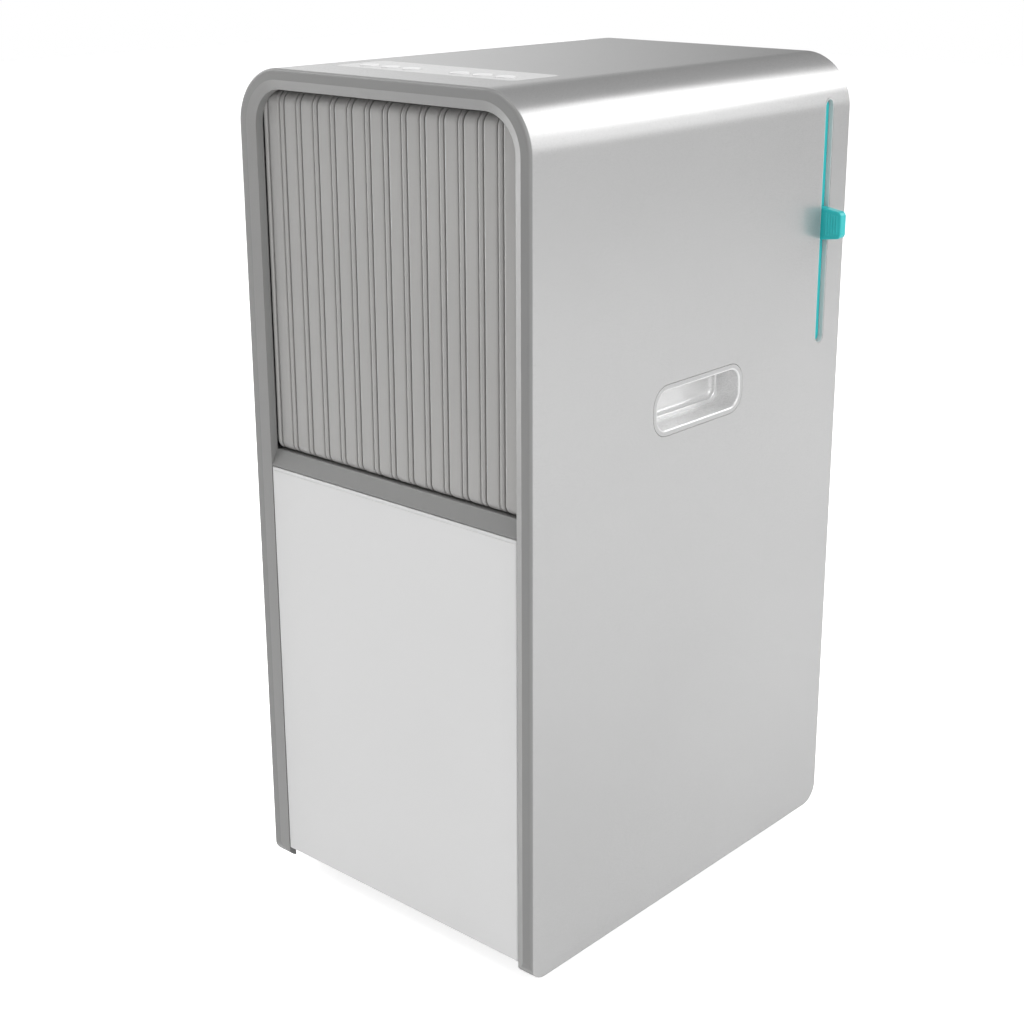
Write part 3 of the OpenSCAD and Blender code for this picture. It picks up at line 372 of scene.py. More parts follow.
def modelFloor():
    clearSelection()
    bpy.ops.mesh.primitive_plane_add(size=studioPlan["floorSize"], location=(0, 0, -0.0005))
    floor = bpy.context.object
    floor.name = "studioFloor"
    applyPlace(floor)
    return floor


studioFloor = modelFloor()

# Sleeve

bezelLow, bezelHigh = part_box("front_bezel")
sleeveLow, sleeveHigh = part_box("outer_shell")
frontY = bezelLow.y
sideX = sleeveHigh.x
topZ = sleeveHigh.z
lowZ = sleeveLow.z

sleevePlan = {
    "topRadius": 0.049,
    "topSteps": 28,
    "footRadius": 0.019,
    "footSteps": 10,
    "wall": 0.0025,
    "seam": 0.0002,       # round what is let into the sleeve
    "handleSeam": 0.0004,
    "edge": 0.0005,
    "slotWidth": 0.012,
    "slotEnds": 0.0005,
    "rimDepth": 0.005,
    "rimWall": 0.0008,
    "rimShy": 0.0003,     # how far the slot's lining stays behind the face
    "flange": 0.004,      # the fascia's hidden flange
    "fasciaRadius": 0.007,
    "handleRadius": 0.018,
    "cutIn": 0.02,        # how far a cutter reaches in and out of the sleeve
    "cutOut": 0.01,
}


def footBlock(name, low, high):
    # a block as deep as the cabinet, with its two lower edges round
    piece = addBlock(name, (low[0], frontY, lowZ), (high[0], sleeveHigh.y, high[2]))
    bevelEdges(piece, lambda a, b: runsAlong(a, b, 0) and same(a.z, lowZ),
               sleevePlan["footRadius"], sleevePlan["footSteps"])
    return piece


def handleCutter(side):
    low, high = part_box("handle_cup_right")
    gap = sleevePlan["handleSeam"]
    ends = sorted([side * (sideX - sleevePlan["cutIn"]), side * (sideX + sleevePlan["cutOut"])])
    return roundedBlock("handleCutter", (ends[0], low.y - gap, low.z - gap),
                        (ends[1], high.y + gap, high.z + gap), 0, sleevePlan["handleRadius"] + gap, 8)


def slotCutter(grow, x0, x1):
    low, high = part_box("filter_frame")
    middle = (low.y + high.y) / 2
    half = sleevePlan["slotWidth"] / 2 + grow
    ends = sleevePlan["slotEnds"] + grow
    return roundedBlock("slotCutter", (x0, middle - half, low.z - ends), (x1, middle + half, high.z + ends),
                        0, half * 0.995, 8)


def fasciaCutter():
    low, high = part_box("control_fascia")
    inset = sleevePlan["flange"] - sleevePlan["seam"]
    return roundedBlock("fasciaCutter", (low.x + inset, low.y + inset, topZ - sleevePlan["cutIn"]),
                        (high.x - inset, high.y - inset, topZ + sleevePlan["cutOut"]), 2,
                        sleevePlan["fasciaRadius"], 6)


def modelOuterShell():
    shell = footBlock("outerShell", (-sideX, 0, lowZ), (sideX, 0, topZ))
    bevelEdges(shell, lambda a, b: runsAlong(a, b, 1) and same(a.z, topZ),
               sleevePlan["topRadius"], sleevePlan["topSteps"])
    startEdit(shell, "EDGE")
    bpy.ops.mesh.bisect(plane_co=(0, sleeveLow.y, 0), plane_no=(0, 1, 0), clear_inner=True)
    endEdit()
    footTop = lowZ + sleevePlan["footRadius"]
    deleteFaces(shell, lambda c, n: abs(n.y) > 0.99 or (abs(n.x) < 0.01 and c.z < footTop))
    addModifier(shell, "SOLIDIFY", thickness=sleevePlan["wall"], offset=-1, use_even_offset=True)
    for side in (-1, 1):
        cutWith(shell, handleCutter(side))
    cutWith(shell, slotCutter(sleevePlan["rimWall"] + sleevePlan["seam"], sideX - sleevePlan["cutIn"],
                              sideX + sleevePlan["cutOut"]))
    cutWith(shell, fasciaCutter())
    easeEdges(shell, sleevePlan["edge"], 2, 40)
    smoothShade(shell, 30)
    finishPiece(shell, "root", "silver_metal", "outer_shell")
    return shell


def modelSlotRim():
    rimIn = sideX - sleevePlan["wall"] - sleevePlan["rimDepth"]
    rim = slotCutter(sleevePlan["rimWall"], rimIn, sideX - sleevePlan["rimShy"])
    cutWith(rim, slotCutter(0, sideX - 0.03, sideX + sleevePlan["cutOut"]))
    nameIt(rim, "slotRim")
    easeEdges(rim, sleevePlan["rimShy"], 2, 40)
    smoothShade(rim, 30)
    finishPiece(rim, "root", "bezel_grey")
    return rim


outerShell = modelOuterShell()
slotRim = modelSlotRim()
print("sleeve modelled")

# Bezel

bezelPlan = {
    "band": 0.0093,
    "slope": 0.0083,
    "slopeDepth": 0.0035,
    "reveal": 0.0079,
    "lip": 0.003,
    "lipStep": 0.0029,
    "outerEdge": 0.0028,
    "edge": 0.00035,
    "slack": 0.0005,
}


def modelFrontBezel():
    spare = 0.06          # the arch starts below the cabinet and is cut off level with it
    bezel = addBlock("frontBezel", (-sideX, frontY, lowZ - spare), (sideX, frontY + bezelPlan["lip"], topZ))
    bevelEdges(bezel, lambda a, b: runsAlong(a, b, 1) and same(a.z, topZ),
               sleevePlan["topRadius"], sleevePlan["topSteps"])
    selectFaces(bezel, lambda c, n: n.y < -0.99)
    bpy.ops.mesh.inset(thickness=bezelPlan["band"], depth=0, use_even_offset=True)
    bpy.ops.mesh.inset(thickness=bezelPlan["slope"], depth=-bezelPlan["slopeDepth"], use_even_offset=True)
    bpy.ops.mesh.extrude_region_move(TRANSFORM_OT_translate={"value": (0, bezelPlan["reveal"], 0)})
    bpy.ops.mesh.delete(type="FACE")
    endEdit()
    back = frontY + bezelPlan["slopeDepth"] + bezelPlan["reveal"]
    selectFaces(bezel, lambda c, n: n.y > 0.99 and c.y > frontY + tiny)
    bpy.ops.mesh.inset(thickness=bezelPlan["lipStep"], depth=0, use_even_offset=True)
    deep = back - frontY - bezelPlan["lip"]
    bpy.ops.mesh.extrude_region_move(TRANSFORM_OT_translate={"value": (0, deep, 0)})
    bpy.ops.mesh.delete(type="FACE")
    endEdit()
    selectEdges(bezel, lambda a, b: same(a.y, back) and same(b.y, back))
    bpy.ops.mesh.bridge_edge_loops()
    bpy.ops.mesh.select_all(action="SELECT")
    bpy.ops.mesh.normals_make_consistent(inside=False)
    endEdit()

    def onOuterFront(a, b):
        middle = (a + b) / 2
        level = same(a.y, frontY) and same(b.y, frontY)
        arch = sleevePlan["topRadius"]
        corner = Vector((abs(middle.x) - (sideX - arch), middle.z - (topZ - arch)))
        onArch = corner.x > 0 and corner.y > 0 and corner.length > arch - bezelPlan["slack"]
        return level and (onArch or same(abs(middle.x), sideX, 1e-4) or same(middle.z, topZ, 1e-4))

    bevelEdges(bezel, onOuterFront, bezelPlan["outerEdge"], 5)
    cutWith(bezel, footBlock("footBlock", (-0.2, 0, lowZ), (0.2, 0, topZ + 0.05)), "INTERSECT")
    easeEdges(bezel, bezelPlan["edge"], 2, 24)
    smoothShade(bezel, 20)
    finishPiece(bezel, "root", "bezel_grey", "front_bezel")
    return bezel


frontBezel = modelFrontBezel()

# Front panel and sill

panelPlan = {
    "edge": 0.0014,
    "topGap": 0.0009,
    "ribs": 5,
    "ribWall": 0.002,
    "skin": 0.0025,
    "groove": (0.0027, 0.0005, 0.0004),     # distance from the top edge, height, depth
}


def modelFrontPanel():
    low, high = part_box("front_panel")
    top = high.z - panelPlan["topGap"]
    panel = addBlock("frontPanel", low, (high.x, low.y + panelPlan["skin"], top))
    bevelEdges(panel, lambda a, b: same(a.y, low.y) and same(b.y, low.y), panelPlan["edge"], 4)
    down, tall, deep = panelPlan["groove"]
    cutWith(panel, addBlock("panelGroove", (low.x - tall, low.y - deep, top - down - tall),
                            (high.x + tall, low.y + deep, top - down)))
    parts = [panel]
    for i in range(panelPlan["ribs"]):
        z = low.z + 0.004 + i * (top - low.z - 0.010) / (panelPlan["ribs"] - 1)
        rib = addBlock("panelRib", (low.x + 0.002, low.y + 0.001, z),
                       (high.x - 0.002, high.y, z + panelPlan["ribWall"]))
        bevelEdges(rib, lambda a, b: same(a.y, high.y) and same(b.y, high.y), 0.0005, 2)
        parts.append(rib)
    panel = joinPieces(parts, "frontPanel")
    smoothShade(panel)
    finishPiece(panel, "root", "panel_white", "front_panel")
    return panel


sillPlan = {"lean": 0.0075, "wall": 0.0025, "edge": 0.0008}


def modelOutletSill():
    low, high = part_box("outlet_sill")
    sill = addBlock("outletSill", low, (high.x, low.y + sillPlan["wall"], high.z))
    selectFaces(sill, lambda c, n: n.z > 0.99)
    bpy.ops.transform.translate(value=(0, sillPlan["lean"], 0))
    endEdit()
    selectFaces(sill, lambda c, n: n.y > 0.9)
    bpy.ops.mesh.inset(thickness=0.0004, depth=0)
    endEdit()
    bevelEdges(sill, lambda a, b: runsAlong(a, b, 0) and (a.y < low.y + 0.001 or a.z > high.z - tiny),
               sillPlan["edge"], 3)
    shelf = addBlock("sillShelf", (low.x, low.y + sillPlan["lean"] + 0.001, high.z - sillPlan["wall"]),
                     (high.x, high.y, high.z - 0.0003))
    bevelEdges(shelf, lambda a, b: runsAlong(a, b, 0), 0.0004, 2)
    sill = joinPieces([sill, shelf], "outletSill")
    smoothShade(sill)
    finishPiece(sill, "root", "bezel_grey", "outlet_sill")
    return sill


frontPanel = modelFrontPanel()
outletSill = modelOutletSill()
print("front modelled")

# Outlet ribs

ribPlan = {
    "units": 14,
    "wide": 0.0146,
    "narrow": 0.0046,
    "topRadius": 0.012,
    "footRadius": 0.009,
    "wideEdges": (0.0034, 0.0016),      # left and right, as seen from the front
    "narrowEdges": (0.0022, 0.0018),
    "rails": (0.12, 0.5, 0.86),
    "railHeight": 0.005,
    "railDepth": 0.004,
}


def modelRib(name, x, width, edges):
    low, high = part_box("outlet_grille")
    rib = addBlock(name, (x, low.y, low.z), (x + width, high.y, high.z))
    bevelEdges(rib, lambda a, b: runsAlong(a, b, 0) and same(a.y, low.y) and same(a.z, high.z),
               ribPlan["topRadius"], 10)
    bevelEdges(rib, lambda a, b: runsAlong(a, b, 0) and same(a.y, low.y) and same(a.z, low.z),
               ribPlan["footRadius"], 8)

    def frontCorner(cornerX):
        def test(a, b):
            onSide = same(a.x, cornerX) and same(b.x, cornerX)
            return onSide and (a.y < high.y - 0.001 or b.y < high.y - 0.001)
        return test

    for faceX, edge in zip((x, x + width), edges):
        bevelEdges(rib, frontCorner(faceX), edge, 5)
    return rib


def modelOutletRibs():
    low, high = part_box("outlet_grille")
    units = ribPlan["units"]
    spare = high.x - low.x - units * ribPlan["wide"] - (units + 1) * ribPlan["narrow"]
    gap = spare / (2 * units)
    pitch = ribPlan["wide"] + ribPlan["narrow"] + 2 * gap
    narrow = modelRib("narrowRib", low.x, ribPlan["narrow"], ribPlan["narrowEdges"])
    wide = modelRib("wideRib", low.x + ribPlan["narrow"] + gap, ribPlan["wide"], ribPlan["wideEdges"])
    parts = [narrow, wide]
    for i in range(1, units + 1):
        parts.append(copyPiece(narrow, "narrowRib", (i * pitch, 0, 0)))
    for i in range(1, units):
        parts.append(copyPiece(wide, "wideRib", (i * pitch, 0, 0)))
    for share in ribPlan["rails"]:
        z = low.z + share * (high.z - low.z)
        rail = addBlock("ribRail", (low.x, high.y - ribPlan["railDepth"], z),
                        (high.x, high.y - 0.0002, z + ribPlan["railHeight"]))
        bevelEdges(rail, lambda a, b: runsAlong(a, b, 0), 0.0006, 2)
        parts.append(rail)
    ribs = joinPieces(parts, "outletRibs")
    smoothShade(ribs)
    finishPiece(ribs, "root", "grille_grey", "outlet_grille")
    return ribs


outletRibs = modelOutletRibs()
print("ribs modelled")

# Controls

buttonWords = ("power", "mode", "swing", "timer", "warmer", "cooler")
buttonNodes = [word + "_button" for word in buttonWords]
controlPlan = {
    "skin": 0.0025,
    "holeGap": 0.0003,
    "holeDepth": 0.03,
    "edge": 0.0004,
    "footStep": 0.0012,   # how much wider a button's foot is than its cap
    "footHeight": 0.0012,
    "stemRadius": 0.0025,
    "capRound": 0.0006,
    "dish": 0.00035,
}


def buttonRadius():
    low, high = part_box(buttonNodes[0])
    return (high.x - low.x) / 2 - controlPlan["footStep"]


def modelControlFascia():
    low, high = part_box("control_fascia")
    flange = sleevePlan["flange"]
    fascia = roundedBlock("controlFascia", (low.x + flange, low.y + flange, topZ - controlPlan["skin"]),
                          (high.x - flange, high.y - flange, topZ), 2, sleevePlan["fasciaRadius"], 6)
    foot = roundedBlock("fasciaFoot", low, (high.x, high.y, topZ - controlPlan["skin"] - 0.0001), 2,
                        sleevePlan["fasciaRadius"] + flange, 6)
    for node in buttonNodes:
        middle = nodeMiddle(node)
        for part in (fascia, foot):
            cutWith(part, addCylinder("buttonHole", (middle.x, middle.y, topZ),
                                      buttonRadius() + controlPlan["holeGap"], controlPlan["holeDepth"], 64))
    easeEdges(fascia, controlPlan["edge"], 2, 40)
    fascia = joinPieces([fascia, foot], "controlFascia")
    smoothShade(fascia)
    finishPiece(fascia, "root", "fascia_white", "control_fascia")
    return fascia


def modelButton(name, node):
    low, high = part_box(node)
    middle = (low + high) / 2
    radius = buttonRadius()
    ease = controlPlan["capRound"]
    capLow = topZ - 2 * controlPlan["skin"] - 0.0004
    profile = [
        (0, low.z),
        (controlPlan["stemRadius"] - 0.0003, low.z),
        (controlPlan["stemRadius"], low.z + 0.0003),
        (controlPlan["stemRadius"], capLow - controlPlan["footHeight"]),
        (radius + controlPlan["footStep"], capLow - controlPlan["footHeight"]),
        (radius + controlPlan["footStep"], capLow),
        (radius, capLow),
        (radius, high.z - ease),
    ]
    for k in range(1, 5):
        turn = math.radians(90 * k / 4)
        profile.append((radius - ease * (1 - math.cos(turn)), high.z - ease * (1 - math.sin(turn))))
    reach = radius - ease
    for k in range(1, 6):
        share = 1 - k / 5
        profile.append((reach * share, high.z - controlPlan["dish"] * (1 - share * share)))
    button = lathe(name, profile, (middle.x, middle.y, 0), 2, 64)
    smoothShade(button, 40)
    return button


controlFascia = modelControlFascia()
buttonPieces = []
firstButton = modelButton("powerButton", buttonNodes[0])
firstMiddle = nodeMiddle(buttonNodes[0])
for word, node in zip(buttonWords, buttonNodes):
    button = firstButton
    if node != buttonNodes[0]:
        button = copyPiece(firstButton, word + "Button", nodeMiddle(node) - firstMiddle)
    finishPiece(button, word + "_key", "button_white", node)
    buttonPieces.append(button)
print("controls modelled")

# Side handles

handlePlan = {
    "rim": 0.0052,
    "plate": 0.0025,
    "lip": 0.0016,
    "mouthRadius": 0.0128,
    "step": 0.0040,
    "stepDepth": 0.0050,
    "stepRound": 0.0018,
    "floorRound": 0.0045,
    "skin": 0.0018,
}


def modelHandleCup():
    low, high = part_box("handle_cup_right")
    rim, skin, step = handlePlan["rim"], handlePlan["skin"], handlePlan["step"]
    plateX = sideX - handlePlan["plate"]
    floorX = low.x + skin
    stepX = floorX + handlePlan["stepDepth"]
    mouthR = handlePlan["mouthRadius"]

    def hollow(name, x0, x1, inset, radius):
        return roundedBlock(name, (x0, low.y + inset, low.z + inset), (x1, high.y - inset, high.z - inset),
                            0, radius, 10)

    cup = hollow("handleCupRight", plateX, sideX, 0, sleevePlan["handleRadius"])
    cutWith(cup, hollow("cupBody", low.x, plateX + 0.0005, rim - skin, mouthR + skin), "UNION")
    mouth = hollow("cupMouth", stepX, sideX + 0.01, rim, mouthR)
    cutWith(cup, mouth)
    well = hollow("cupWell", floorX, stepX + 0.002, rim + step, mouthR - step)
    bevelEdges(well, lambda a, b: same(a.x, floorX) and same(b.x, floorX), handlePlan["floorRound"], 6)
    cutWith(cup, well)

    def insideOf(inset, x):
        def test(a, b):
            if not (same(a.x, x) and same(b.x, x)):
                return False
            spot = (a + b) / 2
            return (low.y + inset - 0.0002 < spot.y < high.y - inset + 0.0002
                    and low.z + inset - 0.0002 < spot.z < high.z - inset + 0.0002)
        return test

    bevelEdges(cup, insideOf(rim + step, stepX), handlePlan["stepRound"], 5)
    bevelEdges(cup, insideOf(rim, sideX), handlePlan["lip"], 6)
    easeEdges(cup, 0.0004, 2, 60)
    smoothShade(cup, 40)
    return cup


handleCupRight = modelHandleCup()
handleCupLeft = mirrorPiece(handleCupRight, "handleCupLeft")
smoothShade(handleCupLeft, 40)
finishPiece(handleCupRight, "root", "cup_silver", "handle_cup_right")
finishPiece(handleCupLeft, "root", "cup_silver", "handle_cup_left")
print("handles modelled")

# Filter

filterPlan = {
    "faceIn": 0.0045,
    "endPlate": 0.004,
    "thick": 0.007,
    "bar": 0.006,
    "cells": (5, 4),
    "tabHeight": (0.031, 0.024),
    "tabRound": 0.004,
    "tabThick": 0.009,
    "grips": 5,
    "gripPitch": 0.0028,
    "gripWidth": 0.0012,
    "gripProud": 0.0005,
}


def modelFilterFrame():
    low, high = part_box("filter_frame")
    middle = (low + high) / 2
    outX = sideX - filterPlan["faceIn"]
    plateX = outX - filterPlan["endPlate"]
    halfT = filterPlan["thick"] / 2
    slotHalf = sleevePlan["slotWidth"] / 2 - 0.0005
    plate = roundedBlock("filterEnd", (plateX, middle.y - slotHalf, low.z),
                         (outX, middle.y + slotHalf, high.z), 0, slotHalf * 0.99, 8)
    easeEdges(plate, 0.0006, 3, 50)
    gridLow = Vector((low.x, 0, low.z + slotHalf))
    gridHigh = Vector((plateX + 0.0005, 0, high.z - slotHalf))
    clearSelection()
    cells = filterPlan["cells"]
    bpy.ops.mesh.primitive_grid_add(x_subdivisions=cells[0], y_subdivisions=cells[1], size=1,
                                    location=(0, 0, 0), rotation=(math.radians(90), 0, 0))
    grid = bpy.context.object
    grid.name = "filterGrid"
    grid.scale = (gridHigh.x - gridLow.x, gridHigh.z - gridLow.z, 1)
    grid.location = ((gridLow.x + gridHigh.x) / 2, middle.y + halfT, (gridLow.z + gridHigh.z) / 2)
    applyPlace(grid)
    startEdit(grid, "FACE")
    bpy.ops.mesh.inset(thickness=filterPlan["bar"] / 2, depth=0, use_individual=True)
    bpy.ops.mesh.delete(type="FACE")
    bpy.ops.mesh.select_all(action="SELECT")
    bpy.ops.mesh.normals_make_consistent(inside=False)
    endEdit()
    addModifier(grid, "SOLIDIFY", thickness=filterPlan["thick"], offset=0)
    shift = middle.y - sum((v.co.y for v in grid.data.vertices)) / len(grid.data.vertices)
    grid.location.y = shift
    applyPlace(grid)
    easeEdges(grid, 0.0008, 2, 50)
    tabHalf = filterPlan["tabThick"] / 2
    root, tip = (h / 2 for h in filterPlan["tabHeight"])
    tab = addBlock("filterTab", (outX - 0.001, middle.y - tabHalf, middle.z - root),
                   (high.x, middle.y + tabHalf, middle.z + root))
    selectFaces(tab, lambda c, n: n.x > 0.99)
    bpy.ops.transform.resize(value=(1, 1, tip / root), center_override=(high.x, middle.y, middle.z))
    endEdit()
    bevelEdges(tab, lambda a, b: runsAlong(a, b, 1) and same(a.x, high.x), filterPlan["tabRound"], 6)
    easeEdges(tab, 0.0011, 3, 40)
    parts = [plate, grid, tab]
    for i in range(filterPlan["grips"]):
        x = high.x - 0.0045 - i * filterPlan["gripPitch"]
        reach = tip - 0.004 + (root - tip) * (high.x - x) / (high.x - outX)
        half = filterPlan["gripWidth"] / 2
        proud = tabHalf + filterPlan["gripProud"]
        grip = addBlock("tabGrip", (x - half, middle.y - proud, middle.z - reach),
                        (x + half, middle.y + proud, middle.z + reach))
        bevelEdges(grip, lambda a, b: runsAlong(a, b, 2), 0.0004, 3)
        parts.append(grip)
    filterFrame = joinPieces(parts, "filterFrame")
    smoothShade(filterFrame, 40)
    finishPiece(filterFrame, "filter", "teal_plastic", "filter_frame")
    return filterFrame


filterFrame = modelFilterFrame()
print("filter modelled")

# Back

rearPlan = {
    "archGap": 0.0029,
    "thick": 0.0025,
    "columns": 4,
    "slotWidth": 0.058,
    "columnGap": 0.008,
    "rowPitch": 0.011,
    "upperField": (0.5008, 0.7138),
    "lowerField": (0.080, 0.254),
    "slatDepth": 0.0085,
    "slatThick": 0.0013,
    "slatLean": 32,
    "slatEdge": 0.0006,
    "slatDepthIn": 0.0036,      # how far the slats' middle is behind the face
    "collarLap": 0.005,
    "cutDepth": 0.06,
    "edge": 0.0006,
}
screwPlan = {
    "inset": 0.0089,
    "rows": (0.14, 0.36, 0.62, 0.82),
    "headRadius": 0.0035,
    "headHeight": 0.0022,
    "slotWide": 0.0009,
}


def modelRearPanel():
    low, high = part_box("rear_panel")
    outY = high.y
    panel = addBlock("rearPanel", (-sideX + rearPlan["archGap"], outY - rearPlan["thick"], low.z),
                     (sideX - rearPlan["archGap"], outY, topZ - rearPlan["archGap"]))
    arch = sleevePlan["topRadius"] - rearPlan["archGap"]
    bevelEdges(panel, lambda a, b: runsAlong(a, b, 1) and a.z > topZ - 0.01, arch, 20)
    pitch = rearPlan["slotWidth"] + rearPlan["columnGap"]
    columns = rearPlan["columns"]
    collarLow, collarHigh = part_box("exhaust_collar")
    collarMiddle = (collarLow + collarHigh) / 2
    half = rearPlan["slotWidth"] / 2
    deep, thick = rearPlan["slatDepth"] / 2, rearPlan["slatThick"] / 2
    firstSlat = addBlock("louvreSlat", (-half - 0.001, -deep, -thick), (half + 0.001, deep, thick))
    bevelEdges(firstSlat, lambda a, b: runsAlong(a, b, 0), rearPlan["slatEdge"], 3)
    firstSlat.rotation_euler = (-math.radians(rearPlan["slatLean"]), 0, 0)
    applyPlace(firstSlat)
    slats = []
    for fieldLow, fieldHigh in (rearPlan["lowerField"], rearPlan["upperField"]):
        rows = int((fieldHigh - fieldLow) / rearPlan["rowPitch"])
        for c in range(columns):
            x = (c - (columns - 1) / 2) * pitch
            windowTop = fieldLow + rows * rearPlan["rowPitch"] + 0.002
            window = roundedBlock("louvreWindow", (x - half, outY - 0.02, fieldLow - 0.002),
                                  (x + half, outY + 0.02, windowTop), 1, 0.003, 4)
            cutWith(panel, window)
            for k in range(rows):
                z = fieldLow + (k + 0.5) * rearPlan["rowPitch"]
                slats.append(copyPiece(firstSlat, "louvreSlat", (x, outY - rearPlan["slatDepthIn"], z)))
    radius = (collarHigh.x - collarLow.x) / 2 - rearPlan["collarLap"]
    cutWith(panel, addCylinder("exhaustHole", (0, outY, collarMiddle.z), radius, rearPlan["cutDepth"], 96,
                               (math.radians(90), 0, 0)))
    easeEdges(panel, rearPlan["edge"], 2, 40)
    bpy.data.objects.remove(firstSlat)
    panel = joinPieces([panel] + slats, "rearPanel")
    smoothShade(panel)
    finishPiece(panel, "root", "bezel_grey", "rear_panel")
    return panel


def modelScrews():
    low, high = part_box("panel_screws")
    out = high.y
    r, h = screwPlan["headRadius"], screwPlan["headHeight"]
    tip = out - h - 0.009
    thread = 0.0017
    profile = [(0, tip), (0.0012, tip), (thread, out - h - 0.008), (thread, out - h), (r, out - h)]
    for k in range(6):
        turn = math.radians(90 * k / 6)
        profile.append((r * math.cos(turn), out - h * 0.55 + (h * 0.55) * math.sin(turn)))
    profile.append((0, out))
    screw = lathe("panelScrew", profile, (0, 0, 0), 1, 24)
    w = screwPlan["slotWide"] / 2
    for reach in ((0.0022, w), (w, 0.0022)):
        cutWith(screw, addBlock("screwSlot", (-reach[0], out - 0.0012, -reach[1]),
                                (reach[0], out + 0.001, reach[1])))
    places = []
    for side in (-1, 1):
        for share in screwPlan["rows"]:
            places.append((side * (sideX - screwPlan["inset"]), lowZ + share * (topZ - lowZ)))
        places.append((side * (sideX - sleevePlan["topRadius"]), topZ - screwPlan["inset"]))
    copies = [copyPiece(screw, "panelScrew", (x, 0, z)) for x, z in places]
    bpy.data.objects.remove(screw)
    screws = joinPieces(copies, "panelScrews")
    smoothShade(screws)
    finishPiece(screws, "root", "steel", "panel_screws")
    return screws


rearPanel = modelRearPanel()
panelScrews = modelScrews()
print("back modelled")

fittingPlan = {
    "collarBore": 0.070,
    "collarWall": 0.003,
    "collarLugs": 3,
    "glandBore": 0.0042,
    "glandRadius": 0.009,
    "plugRadius": 0.007,
}


def modelExhaustCollar():
    low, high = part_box("exhaust_collar")
    middle = (low + high) / 2
    bore = fittingPlan["collarBore"]
    out = bore + fittingPlan["collarWall"]
    flange = (high.x - low.x) / 2
    step = high.y - 0.0025
    ease = 0.0009
    profile = [
        (bore, low.y + ease), (bore + ease, low.y), (out - ease, low.y), (out, low.y + ease),
        (out, step), (flange - ease, step), (flange, step + ease), (flange, high.y - ease),
        (flange - ease, high.y), (out + 0.001, high.y), (out + 0.0002, high.y - 0.0008),
        (bore + 0.0018, high.y - 0.0008), (bore + 0.0006, high.y - 0.0014), (bore, high.y - 0.003),
    ]
    collar = lathe("exhaustCollar", profile, (0, 0, middle.z), 1, 96, closed=True)
    parts = [collar]
    for k in range(fittingPlan["collarLugs"]):
        lug = addBlock("collarLug", (-0.009, high.y - 0.012, bore - 0.0028),
                       (0.009, high.y - 0.008, bore + 0.001))
        easeEdges(lug, 0.0008, 2)
        makeActive(lug)
        lug.rotation_euler = (0, math.radians(60 + 120 * k), 0)
        applyPlace(lug)
        lug.location = (0, 0, middle.z)
        applyPlace(lug)
        parts.append(lug)
    collar = joinPieces(parts, "exhaustCollar")
    smoothShade(collar)
    finishPiece(collar, "root", "dark_plastic", "exhaust_collar")
    return collar


def modelCordGland():
    low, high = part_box("cord_gland")
    middle = (low + high) / 2
    r = (high.x - low.x) / 2
    bore = fittingPlan["glandBore"]
    body = fittingPlan["glandRadius"]
    base = high.y - 0.003
    profile = [
        (bore, low.y + 0.0005), (bore + 0.0005, low.y), (body - 0.0006, low.y), (body, low.y + 0.0006),
        (body, base), (r - 0.0005, base), (r, base + 0.0005), (r, high.y - 0.0013),
        (r - 0.0008, high.y - 0.0006), (r - 0.003, high.y - 0.0002), (bore + 0.0012, high.y),
        (bore + 0.0003, high.y - 0.0004), (bore, high.y - 0.0012),
    ]
    gland = lathe("cordGland", profile, (middle.x, 0, middle.z), 1, 48, closed=True)
    smoothShade(gland)
    finishPiece(gland, "root", "black_rubber", "cord_gland")
    return gland


def modelDrainPlug(node, name):
    low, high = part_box(node)
    middle = (low + high) / 2
    head = (high.x - low.x) / 2
    stem = fittingPlan["plugRadius"]
    base = high.y - 0.005
    profile = [
        (0, low.y), (stem - 0.0008, low.y), (stem, low.y + 0.0008),
        (stem, low.y + 0.004), (stem - 0.0006, low.y + 0.0046),
        (stem - 0.0006, low.y + 0.0062), (stem, low.y + 0.0068),
        (stem, base), (head - 0.0007, base), (head, base + 0.0007), (head, base + 0.0022),
        (head - 0.0009, base + 0.0031), (0, base + 0.0031),
    ]
    plug = lathe(name, profile, (middle.x, 0, middle.z), 1, 48)
    grip = roundedBlock("plugGrip", (middle.x - head * 0.82, base + 0.002, middle.z - 0.0016),
                        (middle.x + head * 0.82, high.y, middle.z + 0.0016), 1, 0.0014, 4)
    easeEdges(grip, 0.0005, 2, 50)
    plug = joinPieces([plug, grip], name)
    smoothShade(plug)
    return plug


exhaustCollar = modelExhaustCollar()
cordGland = modelCordGland()
drainPlugs = []
for word in ("upper", "lower"):
    plug = modelDrainPlug(word + "_drain_plug", word + "DrainPlug")
    finishPiece(plug, word + "_drain", "black_rubber", word + "_drain_plug")
    drainPlugs.append(plug)
print("back fittings modelled")

# Casters

casterPlan = {"corners": ("fr", "fl", "rr", "rl"), "bore": 0.00305, "hub": 0.0095}


def modelCasterWheel(name, node):
    low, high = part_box(node)
    middle = (low + high) / 2
    half = (high.x - low.x) / 2
    r = (high.z - low.z) / 2
    bore, hub = casterPlan["bore"], casterPlan["hub"]
    side = [
        (bore, 0), (bore, half - 0.0004), (bore + 0.0004, half), (hub - 0.002, half),
        (hub - 0.0012, half - 0.0008), (hub, half - 0.0032), (r - 0.0052, half - 0.0032),
        (r - 0.0042, half - 0.0008), (r - 0.0034, half - 0.0002), (r - 0.0018, half - 0.0008),
        (r - 0.0005, half - 0.0024), (r, half - 0.0042), (r, 0.0016), (r - 0.0006, 0.0012),
        (r - 0.0006, 0),
    ]
    profile = side + [(a, -b) for a, b in reversed(side[1:-1])]
    wheel = lathe(name, profile, (middle.x, middle.y, middle.z), 0, 56, closed=True)
    smoothShade(wheel)
    return wheel


